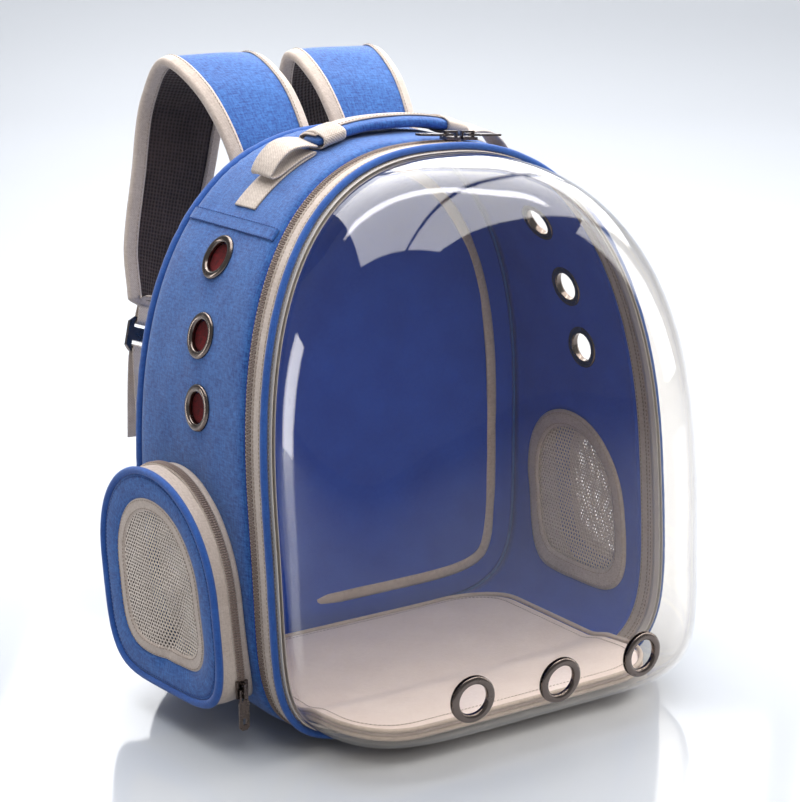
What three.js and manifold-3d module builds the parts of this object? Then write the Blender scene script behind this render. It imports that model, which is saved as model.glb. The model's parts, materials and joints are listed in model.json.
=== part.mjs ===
// Bubble pet carrier backpack: a padded cloth shell with a clear domed front, two side pockets,
// a carrying handle and two padded shoulder straps. Millimetres, +Z up, the dome faces -Y,
// and the origin is on the ground under the middle of the shell.
import * as THREE from 'three';
import { mergeVertices } from 'three/addons/utils/BufferGeometryUtils.js';
import Module from 'manifold-3d';

const wasm = await Module();
wasm.setup();

// Shell outline, seen from the front: two half superellipses that meet at the widest height
const SHELL_HALF_WIDTH = 176.5;
const LOWER_HEIGHT = 160.6;
const UPPER_HEIGHT = 249.4;
const LOWER_ROUNDNESS = 6;
const UPPER_ROUNDNESS = 2.41;
const OUTLINE_STATIONS = 36;
const OUTLINE_FINE_STEPS = 1440;
const FLAT_BASE_RISE = 0.25;
const HALF_DEPTH = 98.25;
const TOP_SETBACK = 55.8;
const RIM_LEAN_POWER = 2.1;

// Cloth and edge finishes
const CLEAR = 0.3;
const SEAM_GAP = 0.2;
const PANEL_INSET = 3.5;
const FOAM_CLOTH = 3;
const CLOTH_PUFF = 2.8;
const PUFF_SHARE = 0.05;
const EDGE_DROP = 1.2;
const BINDING_RADIUS = 3.7;
const PIPING_RADIUS = 3.8;
const TAPE_THICKNESS = 1.6;
const TRIM_WIDTH = 9.8;
const ZIP_TAPE_WIDTH = 10;
const ZIP_TEETH_WIDTH = 5;
const ZIP_TEETH_HEIGHT = 2;
const SEAM_TAPE_WIDTH = 9;
const SEAM_TAPE_INSET = 22;
const SEAM_TAPE_THICKNESS = 1.2;

// Clear dome
const DOME_SHEET = 1.6;
const DOME_CENTRE_HEIGHT = 100;
const DOME_DEPTH = { foot: 104.9, lean: -70.4, crown: 150 };
const DOME_ROUNDNESS = { low: 4.1, top: 1.5, side: 2.79 };
const DOME_RINGS = [1, 0.98, 0.93, 0.84, 0.67, 0.38];
const DOME_LIP = 4;
const DOME_SEARCH_STEPS = 100;

// Eyelets
const EYELET = { bore: 11.4, barrel: 12.4, flange: 17.2, plate: 1.5, sides: 12 };
const LAND_SIDES = 8;
const LAND_RADIUS = 18.5;
const LAND_OVERLAP = 1.2;
const LAND_CUT_REACH = 10;
const DOME_LAND_REACH = 0.75 * LAND_RADIUS;
const GAUZE_THICKNESS = 1;
const SIDE_EYELETS = [
  { name: 'top', height: 337, y: 26 },
  { name: 'middle', height: 284.2, y: 15 },
  { name: 'bottom', height: 234.6, y: 4.8 },
];
const DOME_EYELETS = [
  { name: 'left', x: -75.5, height: 55.8 },
  { name: 'middle', x: 0, height: 53.1 },
  { name: 'right', x: 75.5, height: 55.8 },
];

// Floor mat
const MAT = { halfWidth: 136, rear: 84, front: -150, thickness: 9, corner: 46, seat: 0.5 };
const MAT_BRIDGE_RISE = 5.6;
const MAT_BRIDGE_START = -58;
const MAT_BRIDGE_END = -86;
const MAT_FRONT_SLOPE = 0.085;
const MAT_ACROSS = [-1, -0.92, -0.78, 0, 0.78, 0.92, 1];
const MAT_ROWS = [0, 0.05, 0.15, 0.6, 0.73, 0.84, 0.94, 1];

// Side pockets and the mesh windows behind them
const POCKET = { y: 13, height: 108, halfWidth: 74, halfHeight: 80, shear: 0.15 };
const POCKET_ROUNDNESS = { top: 2.1, foot: 4.5 };
const POCKET_STATIONS = 20;
const POCKET_BULGE = 27;
const POCKET_BULGE_SLOPE = 0.086;
const POCKET_WALL = 2;
const POCKET_SEAT_GAP = 1.1;
const POCKET_PIPING = { height: 2.6, crest: 4, overhang: 1.2, crestInset: 0.6, lap: 3.2 };
const POCKET_FRAME_WIDTH = 17;
const POCKET_BORDER_WIDTH = 9;
const NET_THICKNESS = 1;
const NET_SEAT = 0.5;
const BORDER_SEAT = 0.2;
const WINDOW_INSET = 16;
const WINDOW_BORDER_HEM = 5;
const WINDOW_BORDER_LAP = 9;
const WINDOW_BORDER_THICKNESS = 1.2;
const WINDOW_NET_INSET = 0.6;
const WINDOW_CUT = { inside: 60, outside: 30 };
const POCKET_ZIP_START = -2;
const POCKET_ZIP_END = 11;
const POCKET_ZIP_WIDTH = 5;
const POCKET_ZIP_HEIGHT = 1.6;
const POCKET_ZIP_LIFT = 0.4;

// Zip sliders and their pull tabs
const SLIDER = { length: 13, width: 9, plate: 2.2, gap: 3, bar: 1.4, bridgeWidth: 2.4, post: 1.5, sink: 1 };
const TAB = { length: 30, width: 8, reach: 7.4, arm: 1.2, pin: 0.75, play: 0.9, shoulder: 1.5, nose: 2 };
const TAB_SLOT = { start: 21, end: 26, halfWidth: 1.4 };
const MAIN_SLIDER_X = 30;
const MAIN_SLIDER_SPACING = 15;
const POCKET_SLIDER_RISE = 10;

// Handle
const HANDLE = { y: 28, halfLength: 66, width: 30, thickness: 9, arch: 0.6 };
const HANDLE_STOPS = [-26, 0, 26];
const GRIP_SECTION = [
  [-1, -0.4], [-0.65, -1], [0.65, -1], [1, -0.4], [1, 0.4], [0.6, 1], [-0.6, 1], [-1, 0.4],
];
const HANDLE_CUFF = { start: 46, end: 64, thickness: 1.6 };
const HANDLE_WEBBING = { width: 29, thickness: 1.6, start: 72, end: 122, layer: 2.6, turn: 2 };
const HANDLE_FOLD = [
  { x: 80, lift: 0 }, { x: 92, lift: 0.4 }, { x: 102, lift: 2 }, { x: 107, lift: 6 },
  { x: 103, lift: 10.5 }, { x: 92, lift: 13 }, { x: 80, lift: 9.5 }, { x: 67.4, lift: 3 },
];

// Shoulder straps
const STRAP = { thickness: 9, binding: 5, sections: 11 };
const STRAP_ROUTE = [
  { x: 50, y: 103.1, z: 350, halfWidth: 36 },
  { x: 50, y: 104.1, z: 378, halfWidth: 37 },
  { x: 50, y: 118, z: 408, halfWidth: 39 },
  { x: 53, y: 152, z: 445, halfWidth: 42 },
  { x: 58, y: 197, z: 461, halfWidth: 43 },
  { x: 64, y: 224, z: 428, halfWidth: 40 },
  { x: 76, y: 227, z: 366, halfWidth: 37 },
  { x: 92, y: 221, z: 306, halfWidth: 33 },
  { x: 106, y: 210, z: 268, halfWidth: 22 },
];
const STRAP_SECTION = [[-1, -0.6], [1, -0.6], [0.96, 0.7], [0.6, 1], [-0.6, 1], [-0.96, 0.7]];
const BINDING_SECTION = [[0, -0.75], [1, -0.6], [1, 0.6], [0, 0.75]];
const BINDING_TURN = [-0.9, -0.45, 0.45, 0.9];
const WEBBING = { width: 25, thickness: 1.5 };
const BAR_WRAP = [[-0.4, -1], [0.75, -1], [1, -0.6], [1, 0.6], [0.75, 1], [-0.4, 1]];
const BUCKLE = { width: 36, length: 28, thickness: 4, slot: 5, bar: 3.6, corner: 4, play: 1 };
const BUCKLE_GAP = 9;
const ANCHOR = { x: 149, low: 34, high: 54 };
const WEBBING_TAIL = { length: 70, lean: 0.1 };
const WEBBING_SAG = 10;
const WEBBING_SECTIONS = 9;

// Materials
const BLUE = 0x4a76bd;
const BEIGE = 0xcbbeb3;
const ZIP_BROWN = 0x8c7b70;
const GUNMETAL = 0x6b5f5b;
const FINISH = {
  oxford: { color: BLUE, roughness: 0.85, metalness: 0 },
  tape: { color: BEIGE, roughness: 0.8, metalness: 0 },
  teeth: { color: ZIP_BROWN, roughness: 0.6, metalness: 0 },
  clear: { color: 0xe9f2f5, roughness: 0.05, metalness: 0, transparent: true, opacity: 0.3 },
  metal: { color: GUNMETAL, roughness: 0.3, metalness: 1 },
  gauze: { color: 0x7a0a12, roughness: 0.8, metalness: 0 },
  net: { color: 0xb9a898, roughness: 0.7, metalness: 0 },
  mat: { color: 0xdccbc6, roughness: 0.9, metalness: 0 },
};

const part = new THREE.Group();
const SIDES = [
  { name: 'left', sign: -1 },
  { name: 'right', sign: 1 },
];

function addPiece(name, geometry, finish, parent = part) {
  const mesh = new THREE.Mesh(geometry, new THREE.MeshStandardMaterial(FINISH[finish]));
  mesh.name = name;
  parent.add(mesh);
  return mesh;
}

// Faces are turned over when they enclose a negative volume, so that they always point outwards
function closedGeometry(points, faces) {
  let volume = 0;
  const corner = new THREE.Vector3();
  for (const [a, b, c] of faces) {
    volume += points[a].dot(corner.crossVectors(points[b], points[c]));
  }
  const ordered = volume < 0 ? faces.map(([a, b, c]) => [a, c, b]) : faces;
  const geometry = new THREE.BufferGeometry();
  const numbers = points.flatMap((p) => [p.x, p.y, p.z]);
  geometry.setAttribute('position', new THREE.Float32BufferAttribute(numbers, 3));
  geometry.setIndex(ordered.flat());
  geometry.computeVertexNormals();
  return geometry;
}

// A closed section carried round a closed ring, or along an open run with flat ends
function loft(sections, ring) {
  const count = sections[0].length;
  const points = sections.flat();
  const faces = [];
  const runs = ring ? sections.length : sections.length - 1;
  for (let i = 0; i < runs; i += 1) {
    const here = i * count;
    const next = ((i + 1) % sections.length) * count;
    for (let j = 0; j < count; j += 1) {
      const k = (j + 1) % count;
      faces.push([here + j, next + j, next + k], [here + j, next + k, here + k]);
    }
  }
  if (!ring) {
    const last = (sections.length - 1) * count;
    for (let j = 1; j < count - 1; j += 1) {
      faces.push([0, j, j + 1], [last, last + j + 1, last + j]);
    }
  }
  return closedGeometry(points, faces);
}

function toSolid(geometry) {
  const bare = geometry.clone();
  bare.deleteAttribute('normal');
  bare.deleteAttribute('uv');
  const merged = mergeVertices(bare, 1e-4);
  return new wasm.Manifold(new wasm.Mesh({
    numProp: 3,
    vertProperties: new Float32Array(merged.attributes.position.array),
    triVerts: new Uint32Array(merged.index.array),
  }));
}

function toGeometry(solid) {
  const mesh = solid.getMesh();
  const geometry = new THREE.BufferGeometry();
  geometry.setAttribute('position', new THREE.Float32BufferAttribute(mesh.vertProperties, 3));
  geometry.setIndex([...mesh.triVerts]);
  geometry.computeVertexNormals();
  return geometry;
}

function signedPower(value, power) {
  return Math.sign(value) * Math.abs(value) ** power;
}

// The shell outline as equal steps of length and turning together, from the middle of the base
const WIDEST_HEIGHT = LOWER_HEIGHT + EDGE_DROP + CLOTH_PUFF;
const BASE_LEVEL = EDGE_DROP + CLOTH_PUFF;

function outlineCurve(turn) {
  const lower = Math.cos(turn) > 0;
  const power = 2 / (lower ? LOWER_ROUNDNESS : UPPER_ROUNDNESS);
  const reach = lower ? LOWER_HEIGHT : UPPER_HEIGHT;
  const x = SHELL_HALF_WIDTH * signedPower(Math.sin(turn), power);
  const z = WIDEST_HEIGHT - reach * signedPower(Math.cos(turn), power);
  return new THREE.Vector2(x, Math.max(z, BASE_LEVEL + FLAT_BASE_RISE) - FLAT_BASE_RISE);
}

function resampledOutline(stations) {
  const fine = OUTLINE_FINE_STEPS;
  const dense = Array.from({ length: fine }, (_, i) => outlineCurve((i / fine) * 2 * Math.PI));
  const steps = dense.map((p, i) => dense[(i + 1) % fine].clone().sub(p));
  const total = steps.reduce((sum, step) => sum + step.length(), 0);
  const travelled = [0];
  steps.forEach((step, i) => {
    const next = steps[(i + 1) % fine];
    const turned = Math.abs(Math.atan2(step.cross(next), step.dot(next)));
    travelled.push(travelled[i] + step.length() / total + turned / (2 * Math.PI));
  });
  const whole = travelled[fine];
  const outline = [];
  let i = 0;
  for (let station = 0; station < stations; station += 1) {
    const target = (whole * station) / stations;
    while (travelled[i + 1] < target) {
      i += 1;
    }
    const share = (target - travelled[i]) / (travelled[i + 1] - travelled[i]);
    outline.push(dense[i].clone().lerp(dense[(i + 1) % fine], share));
  }
  return outline;
}

const outline = resampledOutline(OUTLINE_STATIONS);
const outlineNormals = outline.map((_, i) => {
  const before = outline[(i + OUTLINE_STATIONS - 1) % OUTLINE_STATIONS];
  const after = outline[(i + 1) % OUTLINE_STATIONS];
  return new THREE.Vector2(after.y - before.y, before.x - after.x).normalize();
});

// The base stations share the one normal that points straight down, so the base stays flat
outlineNormals.forEach((normal, i) => {
  if (outline[i].y < BASE_LEVEL + 0.01) {
    normal.set(0, -1);
  }
});

function outlinePoint(station, offset, y) {
  const p = outline[station];
  const n = outlineNormals[station];
  return new THREE.Vector3(p.x + n.x * offset, y, p.y + n.y * offset);
}

// Half width of the faceted shell at a height, grown outwards by an offset
function shellHalfWidth(height, offset) {
  for (let i = 0; i < OUTLINE_STATIONS / 2; i += 1) {
    const a = outlinePoint(i, offset, 0);
    const b = outlinePoint(i + 1, offset, 0);
    if (a.z <= height && height <= b.z && b.z > a.z) {
      return Math.abs(a.x + ((b.x - a.x) * (height - a.z)) / (b.z - a.z));
    }
  }
  throw new RangeError(`no shell wall at height ${height}`);
}

// The front rim leans back towards the top
const SHELL_HEIGHT = LOWER_HEIGHT + UPPER_HEIGHT;

function frontRim(height) {
  const share = Math.max(0, (height - BASE_LEVEL) / SHELL_HEIGHT);
  return -HALF_DEPTH + TOP_SETBACK * share ** RIM_LEAN_POWER;
}

function shellRing(section) {
  const sections = outline.map((point, station) => section(frontRim(point.y)).map(
    ([offset, y]) => outlinePoint(station, offset, y),
  ));
  return loft(sections, true);
}

function roundSection(radius, y, sides) {
  return Array.from({ length: sides }, (_, i) => {
    const turn = (i / sides) * 2 * Math.PI;
    return [Math.cos(turn) * radius, y + Math.sin(turn) * radius];
  });
}

const TRIM_START = BINDING_RADIUS + SEAM_GAP;
const ZIP_START = TRIM_START + TRIM_WIDTH + CLEAR;
const GUSSET_START = ZIP_START + ZIP_TAPE_WIDTH + CLEAR;
const GUSSET_END = HALF_DEPTH - PIPING_RADIUS - SEAM_GAP;
const WALL_OUTSIDE = EDGE_DROP + CLOTH_PUFF;
const WALL_INSIDE = WALL_OUTSIDE - FOAM_CLOTH;

function gussetSection(rim) {
  const start = rim + GUSSET_START;
  const depth = GUSSET_END - start;
  const outer = [[EDGE_DROP, 0], [WALL_OUTSIDE, PUFF_SHARE], [WALL_OUTSIDE, 1 - PUFF_SHARE], [EDGE_DROP, 1]];
  const inner = outer.map(([offset, share]) => [offset - FOAM_CLOTH, share]).reverse();
  return [...outer, ...inner].map(([offset, share]) => [offset, start + depth * share]);
}

const TAPE_INSIDE = -0.4;
const TAPE_OUTSIDE = TAPE_INSIDE + TAPE_THICKNESS;

function trimSection(rim) {
  const start = rim + TRIM_START;
  const end = start + TRIM_WIDTH;
  return [[TAPE_INSIDE, start], [TAPE_OUTSIDE, start], [TAPE_OUTSIDE, end], [TAPE_INSIDE, end]];
}

// The zip tape with its closed row of teeth standing along the middle
function zipSection(rim) {
  const start = rim + ZIP_START;
  const end = start + ZIP_TAPE_WIDTH;
  const middle = (start + end) / 2;
  const top = TAPE_OUTSIDE + ZIP_TEETH_HEIGHT;
  return [
    [TAPE_INSIDE, start], [TAPE_OUTSIDE, start],
    [top, middle - ZIP_TEETH_WIDTH / 2], [top, middle + ZIP_TEETH_WIDTH / 2],
    [TAPE_OUTSIDE, end], [TAPE_INSIDE, end],
  ];
}

// A disc or bore whose axis is turned to a direction and placed at a point
function turnedCylinder(radius, length, centre, direction, sides) {
  const geometry = new THREE.CylinderGeometry(radius, radius, length, sides);
  const turn = new THREE.Quaternion().setFromUnitVectors(new THREE.Vector3(0, 1, 0), direction);
  geometry.applyQuaternion(turn);
  geometry.translate(centre.x, centre.y, centre.z);
  return toSolid(geometry);
}

// Round each eyelet the sheet is pressed into a flat land, and the barrel passes through it
function pressLand(sheet, seat, thickness) {
  const reach = thickness + LAND_CUT_REACH;
  const blank = turnedCylinder(LAND_RADIUS, reach, seat.point, seat.normal, LAND_SIDES);
  const land = turnedCylinder(LAND_RADIUS + LAND_OVERLAP, thickness, seat.point, seat.normal, LAND_SIDES);
  const bore = turnedCylinder(EYELET.barrel + CLEAR, reach, seat.point, seat.normal, EYELET.sides);
  return sheet.subtract(blank).add(land).subtract(bore);
}

function eyeletGeometry(sheetThickness) {
  const inside = sheetThickness / 2 + CLEAR;
  const outside = inside + EYELET.plate;
  const profile = [
    [EYELET.bore, -outside], [EYELET.flange, -outside], [EYELET.flange, -inside], [EYELET.barrel, -inside],
    [EYELET.barrel, inside], [EYELET.flange, inside], [EYELET.flange, outside], [EYELET.bore, outside],
    [EYELET.bore, -outside],
  ].map(([radius, height]) => new THREE.Vector2(radius, height));
  return new THREE.LatheGeometry(profile, EYELET.sides);
}

function placeOnSeat(mesh, seat) {
  mesh.position.copy(seat.point);
  mesh.quaternion.setFromUnitVectors(new THREE.Vector3(0, 1, 0), seat.normal);
}

function sideSeat(sign, spot) {
  const middle = (WALL_OUTSIDE + WALL_INSIDE) / 2;
  const x = shellHalfWidth(spot.height, middle);
  const rise = LAND_RADIUS / 2;
  const lean = shellHalfWidth(spot.height - rise, middle) - shellHalfWidth(spot.height + rise, middle);
  return {
    point: new THREE.Vector3(sign * x, spot.y, spot.height),
    normal: new THREE.Vector3(sign * 2 * rise, 0, lean).normalize(),
  };
}

// The dome: each ring is the rim outline drawn in towards the dome's centre, and pushed forwards
function domeBulge(height) {
  const share = (height - BASE_LEVEL) / SHELL_HEIGHT;
  return DOME_DEPTH.foot + DOME_DEPTH.lean * share + DOME_DEPTH.crown * share ** 2;
}

function domePoint(station, ring, inset) {
  const rim = outlinePoint(station, -BINDING_RADIUS - CLEAR - inset, 0);
  const x = rim.x * ring;
  const z = DOME_CENTRE_HEIGHT + (rim.z - DOME_CENTRE_HEIGHT) * ring;
  const upward = Math.max(0, (rim.z - WIDEST_HEIGHT) / UPPER_HEIGHT);
  const roundness = DOME_ROUNDNESS.low + (DOME_ROUNDNESS.top - DOME_ROUNDNESS.low) * upward;
  const swell = (1 - ring ** roundness) ** (1 / DOME_ROUNDNESS.side);
  return new THREE.Vector3(x, frontRim(z) - (domeBulge(z) - inset) * swell, z);
}

function domeSheet() {
  const points = [];
  const rows = [];
  const addRow = (make) => {
    rows.push(points.length);
    outline.forEach((_, station) => points.push(make(station)));
  };
  const lip = (inset) => (station) => {
    const p = domePoint(station, 1, inset);
    return p.setY(p.y + DOME_LIP);
  };
  addRow(lip(0));
  DOME_RINGS.forEach((ring) => addRow((station) => domePoint(station, ring, 0)));
  const outerPole = points.push(domePoint(0, 0, 0)) - 1;
  addRow(lip(DOME_SHEET));
  DOME_RINGS.forEach((ring) => addRow((station) => domePoint(station, ring, DOME_SHEET)));
  const innerPole = points.push(domePoint(0, 0, DOME_SHEET)) - 1;
  const faces = [];
  const joinRows = (a, b) => {
    for (let i = 0; i < OUTLINE_STATIONS; i += 1) {
      const k = (i + 1) % OUTLINE_STATIONS;
      faces.push([a + i, b + i, b + k], [a + i, b + k, a + k]);
    }
  };
  const half = rows.length / 2;
  for (let r = 0; r < half - 1; r += 1) {
    joinRows(rows[r], rows[r + 1]);
    joinRows(rows[half + r + 1], rows[half + r]);
  }
  joinRows(rows[half], rows[0]);
  for (let i = 0; i < OUTLINE_STATIONS; i += 1) {
    const k = (i + 1) % OUTLINE_STATIONS;
    faces.push([rows[half - 1] + i, outerPole, rows[half - 1] + k]);
    faces.push([rows[rows.length - 1] + k, innerPole, rows[rows.length - 1] + i]);
  }
  return closedGeometry(points, faces);
}

// The middle of the sheet where a line along Y meets the dome, found on its outer face
function domeSeat(spot) {
  const depthAt = (x, z) => {
    let best = null;
    let near = Infinity;
    outline.forEach((_, station) => {
      for (let step = 0; step <= DOME_SEARCH_STEPS; step += 1) {
        const p = domePoint(station, step / DOME_SEARCH_STEPS, 0);
        const away = Math.hypot(p.x - x, p.z - z);
        if (away < near) {
          near = away;
          best = p;
        }
      }
    });
    return best.y;
  };
  const reach = DOME_LAND_REACH;
  const y = depthAt(spot.x, spot.height);
  const across = depthAt(spot.x + reach, spot.height) - depthAt(spot.x - reach, spot.height);
  const upward = depthAt(spot.x, spot.height + reach) - depthAt(spot.x, spot.height - reach);
  const normal = new THREE.Vector3(across, -2 * reach, upward).normalize();
  const point = new THREE.Vector3(spot.x, y, spot.height).addScaledVector(normal, -DOME_SHEET);
  return { point, normal };
}

function buildDome() {
  let sheet = toSolid(domeSheet());
  for (const spot of DOME_EYELETS) {
    const seat = domeSeat(spot);
    sheet = pressLand(sheet, seat, DOME_SHEET);
    placeOnSeat(addPiece(`dome_eyelet_${spot.name}`, eyeletGeometry(DOME_SHEET), 'metal'), seat);
  }
  addPiece('clear_dome', toGeometry(sheet), 'clear');
}

// Pocket outline on the shell's side: a round top over a squarer foot, slanting back upwards
function pocketOutline(turn, inset) {
  const power = 2 / (Math.sin(turn) > 0 ? POCKET_ROUNDNESS.top : POCKET_ROUNDNESS.foot);
  const rise = (POCKET.halfHeight - inset) * signedPower(Math.sin(turn), power);
  const across = -(POCKET.halfWidth - inset) * signedPower(Math.cos(turn), power);
  return { y: POCKET.y + across + POCKET.shear * rise, z: POCKET.height + rise, across };
}

function pocketTurns() {
  return Array.from({ length: POCKET_STATIONS }, (_, station) => pocketTurn(station));
}

// A point between the shell wall (lift 0) and the pocket's outer face (lift 1)
function pocketPoint(sign, turn, inset, lift, proud = 0) {
  const p = pocketOutline(turn, inset);
  const seat = shellHalfWidth(p.z, WALL_OUTSIDE) + POCKET_SEAT_GAP;
  const face = shellHalfWidth(POCKET.height, WALL_OUTSIDE) + POCKET_BULGE + POCKET_BULGE_SLOPE * p.across;
  return new THREE.Vector3(sign * (seat + (face - seat) * lift + proud), p.y, p.z);
}

function pocketRing(sign, section) {
  return loft(pocketTurns().map((turn) => section.map(
    ([inset, lift, proud]) => pocketPoint(sign, turn, inset, lift, proud),
  )), true);
}

function windowPoint(sign, turn, inset, offset) {
  const p = pocketOutline(turn, inset);
  return new THREE.Vector3(sign * shellHalfWidth(p.z, offset), p.y, p.z);
}

function windowRing(sign, insetOut, insetIn, offsetOut, offsetIn) {
  return loft(pocketTurns().map((turn) => [
    windowPoint(sign, turn, insetOut, offsetOut),
    windowPoint(sign, turn, insetIn, offsetOut),
    windowPoint(sign, turn, insetIn, offsetIn),
    windowPoint(sign, turn, insetOut, offsetIn),
  ]), true);
}

// A thin panel that fills an outline, as a stack of two faces with their rims joined
function panel(front, back) {
  return loft([front, back], false);
}

function windowCutter(sign) {
  const inside = pocketTurns().map((turn) => {
    const p = pocketOutline(turn, WINDOW_INSET);
    return new THREE.Vector3(sign * (SHELL_HALF_WIDTH - WINDOW_CUT.inside), p.y, p.z);
  });
  const outside = inside.map((p) => p.clone().setX(sign * (SHELL_HALF_WIDTH + WINDOW_CUT.outside)));
  return toSolid(loft([inside, outside], false));
}

function buildGusset() {
  let wall = toSolid(shellRing(gussetSection));
  for (const side of SIDES) {
    for (const spot of SIDE_EYELETS) {
      const seat = sideSeat(side.sign, spot);
      wall = pressLand(wall, seat, FOAM_CLOTH);
      placeOnSeat(addPiece(`side_eyelet_${side.name}_${spot.name}`, eyeletGeometry(FOAM_CLOTH), 'metal'), seat);
      if (side.sign < 0) {
        const disc = new THREE.CylinderGeometry(
          EYELET.bore - CLEAR, EYELET.bore - CLEAR, GAUZE_THICKNESS, EYELET.sides,
        );
        placeOnSeat(addPiece(`eyelet_gauze_${spot.name}`, disc, 'gauze'), seat);
      }
    }
    wall = wall.subtract(windowCutter(side.sign));
  }
  addPiece('shell_gusset', toGeometry(wall), 'oxford');
}

function buildBackPanel() {
  const inset = -PANEL_INSET;
  const front = HALF_DEPTH - FOAM_CLOTH;
  const shape = outline.map((_, station) => outlinePoint(station, inset, front));
  addPiece('back_panel', panel(shape, shape.map((p) => p.clone().setY(front + FOAM_CLOTH))), 'oxford');
  const tapeY = front - CLEAR - SEAM_TAPE_THICKNESS;
  const tape = outline.map((_, station) => [
    outlinePoint(station, -SEAM_TAPE_INSET, tapeY),
    outlinePoint(station, -SEAM_TAPE_INSET, tapeY + SEAM_TAPE_THICKNESS),
    outlinePoint(station, -SEAM_TAPE_INSET - SEAM_TAPE_WIDTH, tapeY + SEAM_TAPE_THICKNESS),
    outlinePoint(station, -SEAM_TAPE_INSET - SEAM_TAPE_WIDTH, tapeY),
  ]);
  addPiece('back_seam_tape', loft(tape, true), 'tape');
}

function buildEdges() {
  addPiece('front_binding', shellRing((rim) => roundSection(BINDING_RADIUS, rim, 5)), 'oxford');
  addPiece('rear_piping', shellRing(() => roundSection(PIPING_RADIUS, HALF_DEPTH, 5)), 'oxford');
  addPiece('trim_tape', shellRing(trimSection), 'tape');
  addPiece('main_zip', shellRing(zipSection), 'teeth');
}

// Inside height of the faceted floor under a place across the shell
function floorHeight(x) {
  for (let i = 0; i < OUTLINE_STATIONS / 4; i += 1) {
    const a = outlinePoint(i, WALL_INSIDE, 0);
    const b = outlinePoint(i + 1, WALL_INSIDE, 0);
    const from = Math.abs(a.x);
    const to = Math.abs(b.x);
    if (from <= Math.abs(x) && Math.abs(x) <= to) {
      return a.z + ((b.z - a.z) * (Math.abs(x) - from)) / (to - from);
    }
  }
  throw new RangeError(`no floor at ${x}`);
}

// The mat lies on the shell floor, steps up over the front edge bands and runs into the dome
function matRow(share) {
  const y = MAT.rear + (MAT.front - MAT.rear) * share;
  const fromEnd = Math.min(MAT.rear - y, y - MAT.front);
  const inCorner = Math.max(0, 1 - fromEnd / MAT.corner);
  const half = MAT.halfWidth - MAT.corner * (1 - Math.sqrt(Math.max(0, 1 - inCorner ** 2)));
  const bridge = THREE.MathUtils.clamp((MAT_BRIDGE_START - y) / (MAT_BRIDGE_START - MAT_BRIDGE_END), 0, 1);
  const slope = Math.max(0, MAT_BRIDGE_END - y) * MAT_FRONT_SLOPE;
  const rise = MAT.seat + MAT_BRIDGE_RISE * bridge + slope;
  const under = MAT_ACROSS.map((across) => new THREE.Vector3(across * half, y, floorHeight(across * half) + rise));
  const over = under.map((p) => p.clone().setZ(p.z + MAT.thickness)).reverse();
  return [...under, ...over];
}

function buildMat() {
  addPiece('floor_mat', loft(MAT_ROWS.map(matRow), false), 'mat');
}

// Slider: a base plate with a bridge over it. Local X runs along the zip, local Z points out.
function sliderSolid() {
  const box = (sx, sy, sz, x, y, z) => {
    const geometry = new THREE.BoxGeometry(sx, sy, sz);
    geometry.translate(x, y, z);
    return toSolid(geometry);
  };
  const reach = SLIDER.length / 2;
  const topHeight = SLIDER.plate + SLIDER.gap + SLIDER.bar;
  const postX = reach - SLIDER.post;
  const postHeight = topHeight - SLIDER.sink;
  let body = box(SLIDER.length, SLIDER.width, SLIDER.plate, 0, 0, SLIDER.plate / 2);
  body = body.add(box(2 * postX + SLIDER.post, SLIDER.bridgeWidth, SLIDER.bar, 0, 0, topHeight - SLIDER.bar / 2));
  for (const end of [-1, 1]) {
    body = body.add(box(SLIDER.post, SLIDER.bridgeWidth, postHeight, end * postX, 0, topHeight - postHeight / 2));
  }
  return toGeometry(body);
}

function rectanglePath(left, right, low, high) {
  const corners = [[left, low], [left, high], [right, high], [right, low]];
  return new THREE.Path(corners.map(([x, y]) => new THREE.Vector2(x, y)));
}

// Pull tab: a plate on two arms that carry a round pin under the slider's bridge. Local X points
// to its free end, and the pin lies along local Y through the origin.
function tabSolid() {
  const inner = SLIDER.bridgeWidth / 2 + TAB.play;
  const half = inner + TAB.arm;
  const shoulder = TAB.reach + TAB.shoulder;
  const wide = TAB.width / 2;
  const nose = TAB.nose;
  const rightEdge = [
    [-TAB.pin, half], [TAB.reach, half], [shoulder, wide], [TAB.length - nose, wide], [TAB.length, wide - nose],
  ].map(([x, y]) => new THREE.Vector2(x, y));
  const leftEdge = rightEdge.map((p) => new THREE.Vector2(p.x, -p.y));
  const outlineShape = new THREE.Shape([...leftEdge, ...rightEdge.reverse()]);
  outlineShape.holes.push(rectanglePath(TAB.pin, TAB.reach, -inner, inner));
  outlineShape.holes.push(rectanglePath(TAB_SLOT.start, TAB_SLOT.end, -TAB_SLOT.halfWidth, TAB_SLOT.halfWidth));
  const geometry = new THREE.ExtrudeGeometry(outlineShape, { depth: 2 * TAB.pin, bevelEnabled: false });
  geometry.translate(0, 0, -TAB.pin);
  return geometry;
}

// A slider and its tab in a turned group: along is the way to the tab's free end, out is the normal
function addSlider(name, seat, along, out) {
  const group = new THREE.Group();
  const side = new THREE.Vector3().crossVectors(out, along).normalize();
  const straight = new THREE.Vector3().crossVectors(side, out).normalize();
  group.quaternion.setFromRotationMatrix(new THREE.Matrix4().makeBasis(straight, side, out));
  group.position.copy(seat);
  part.add(group);
  addPiece(`${name}_slider`, sliderSolid(), 'metal', group);
  const tab = addPiece(`${name}_pull`, tabSolid(), 'metal', group);
  tab.position.set(0, 0, SLIDER.plate + SLIDER.gap / 2);
}

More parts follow.
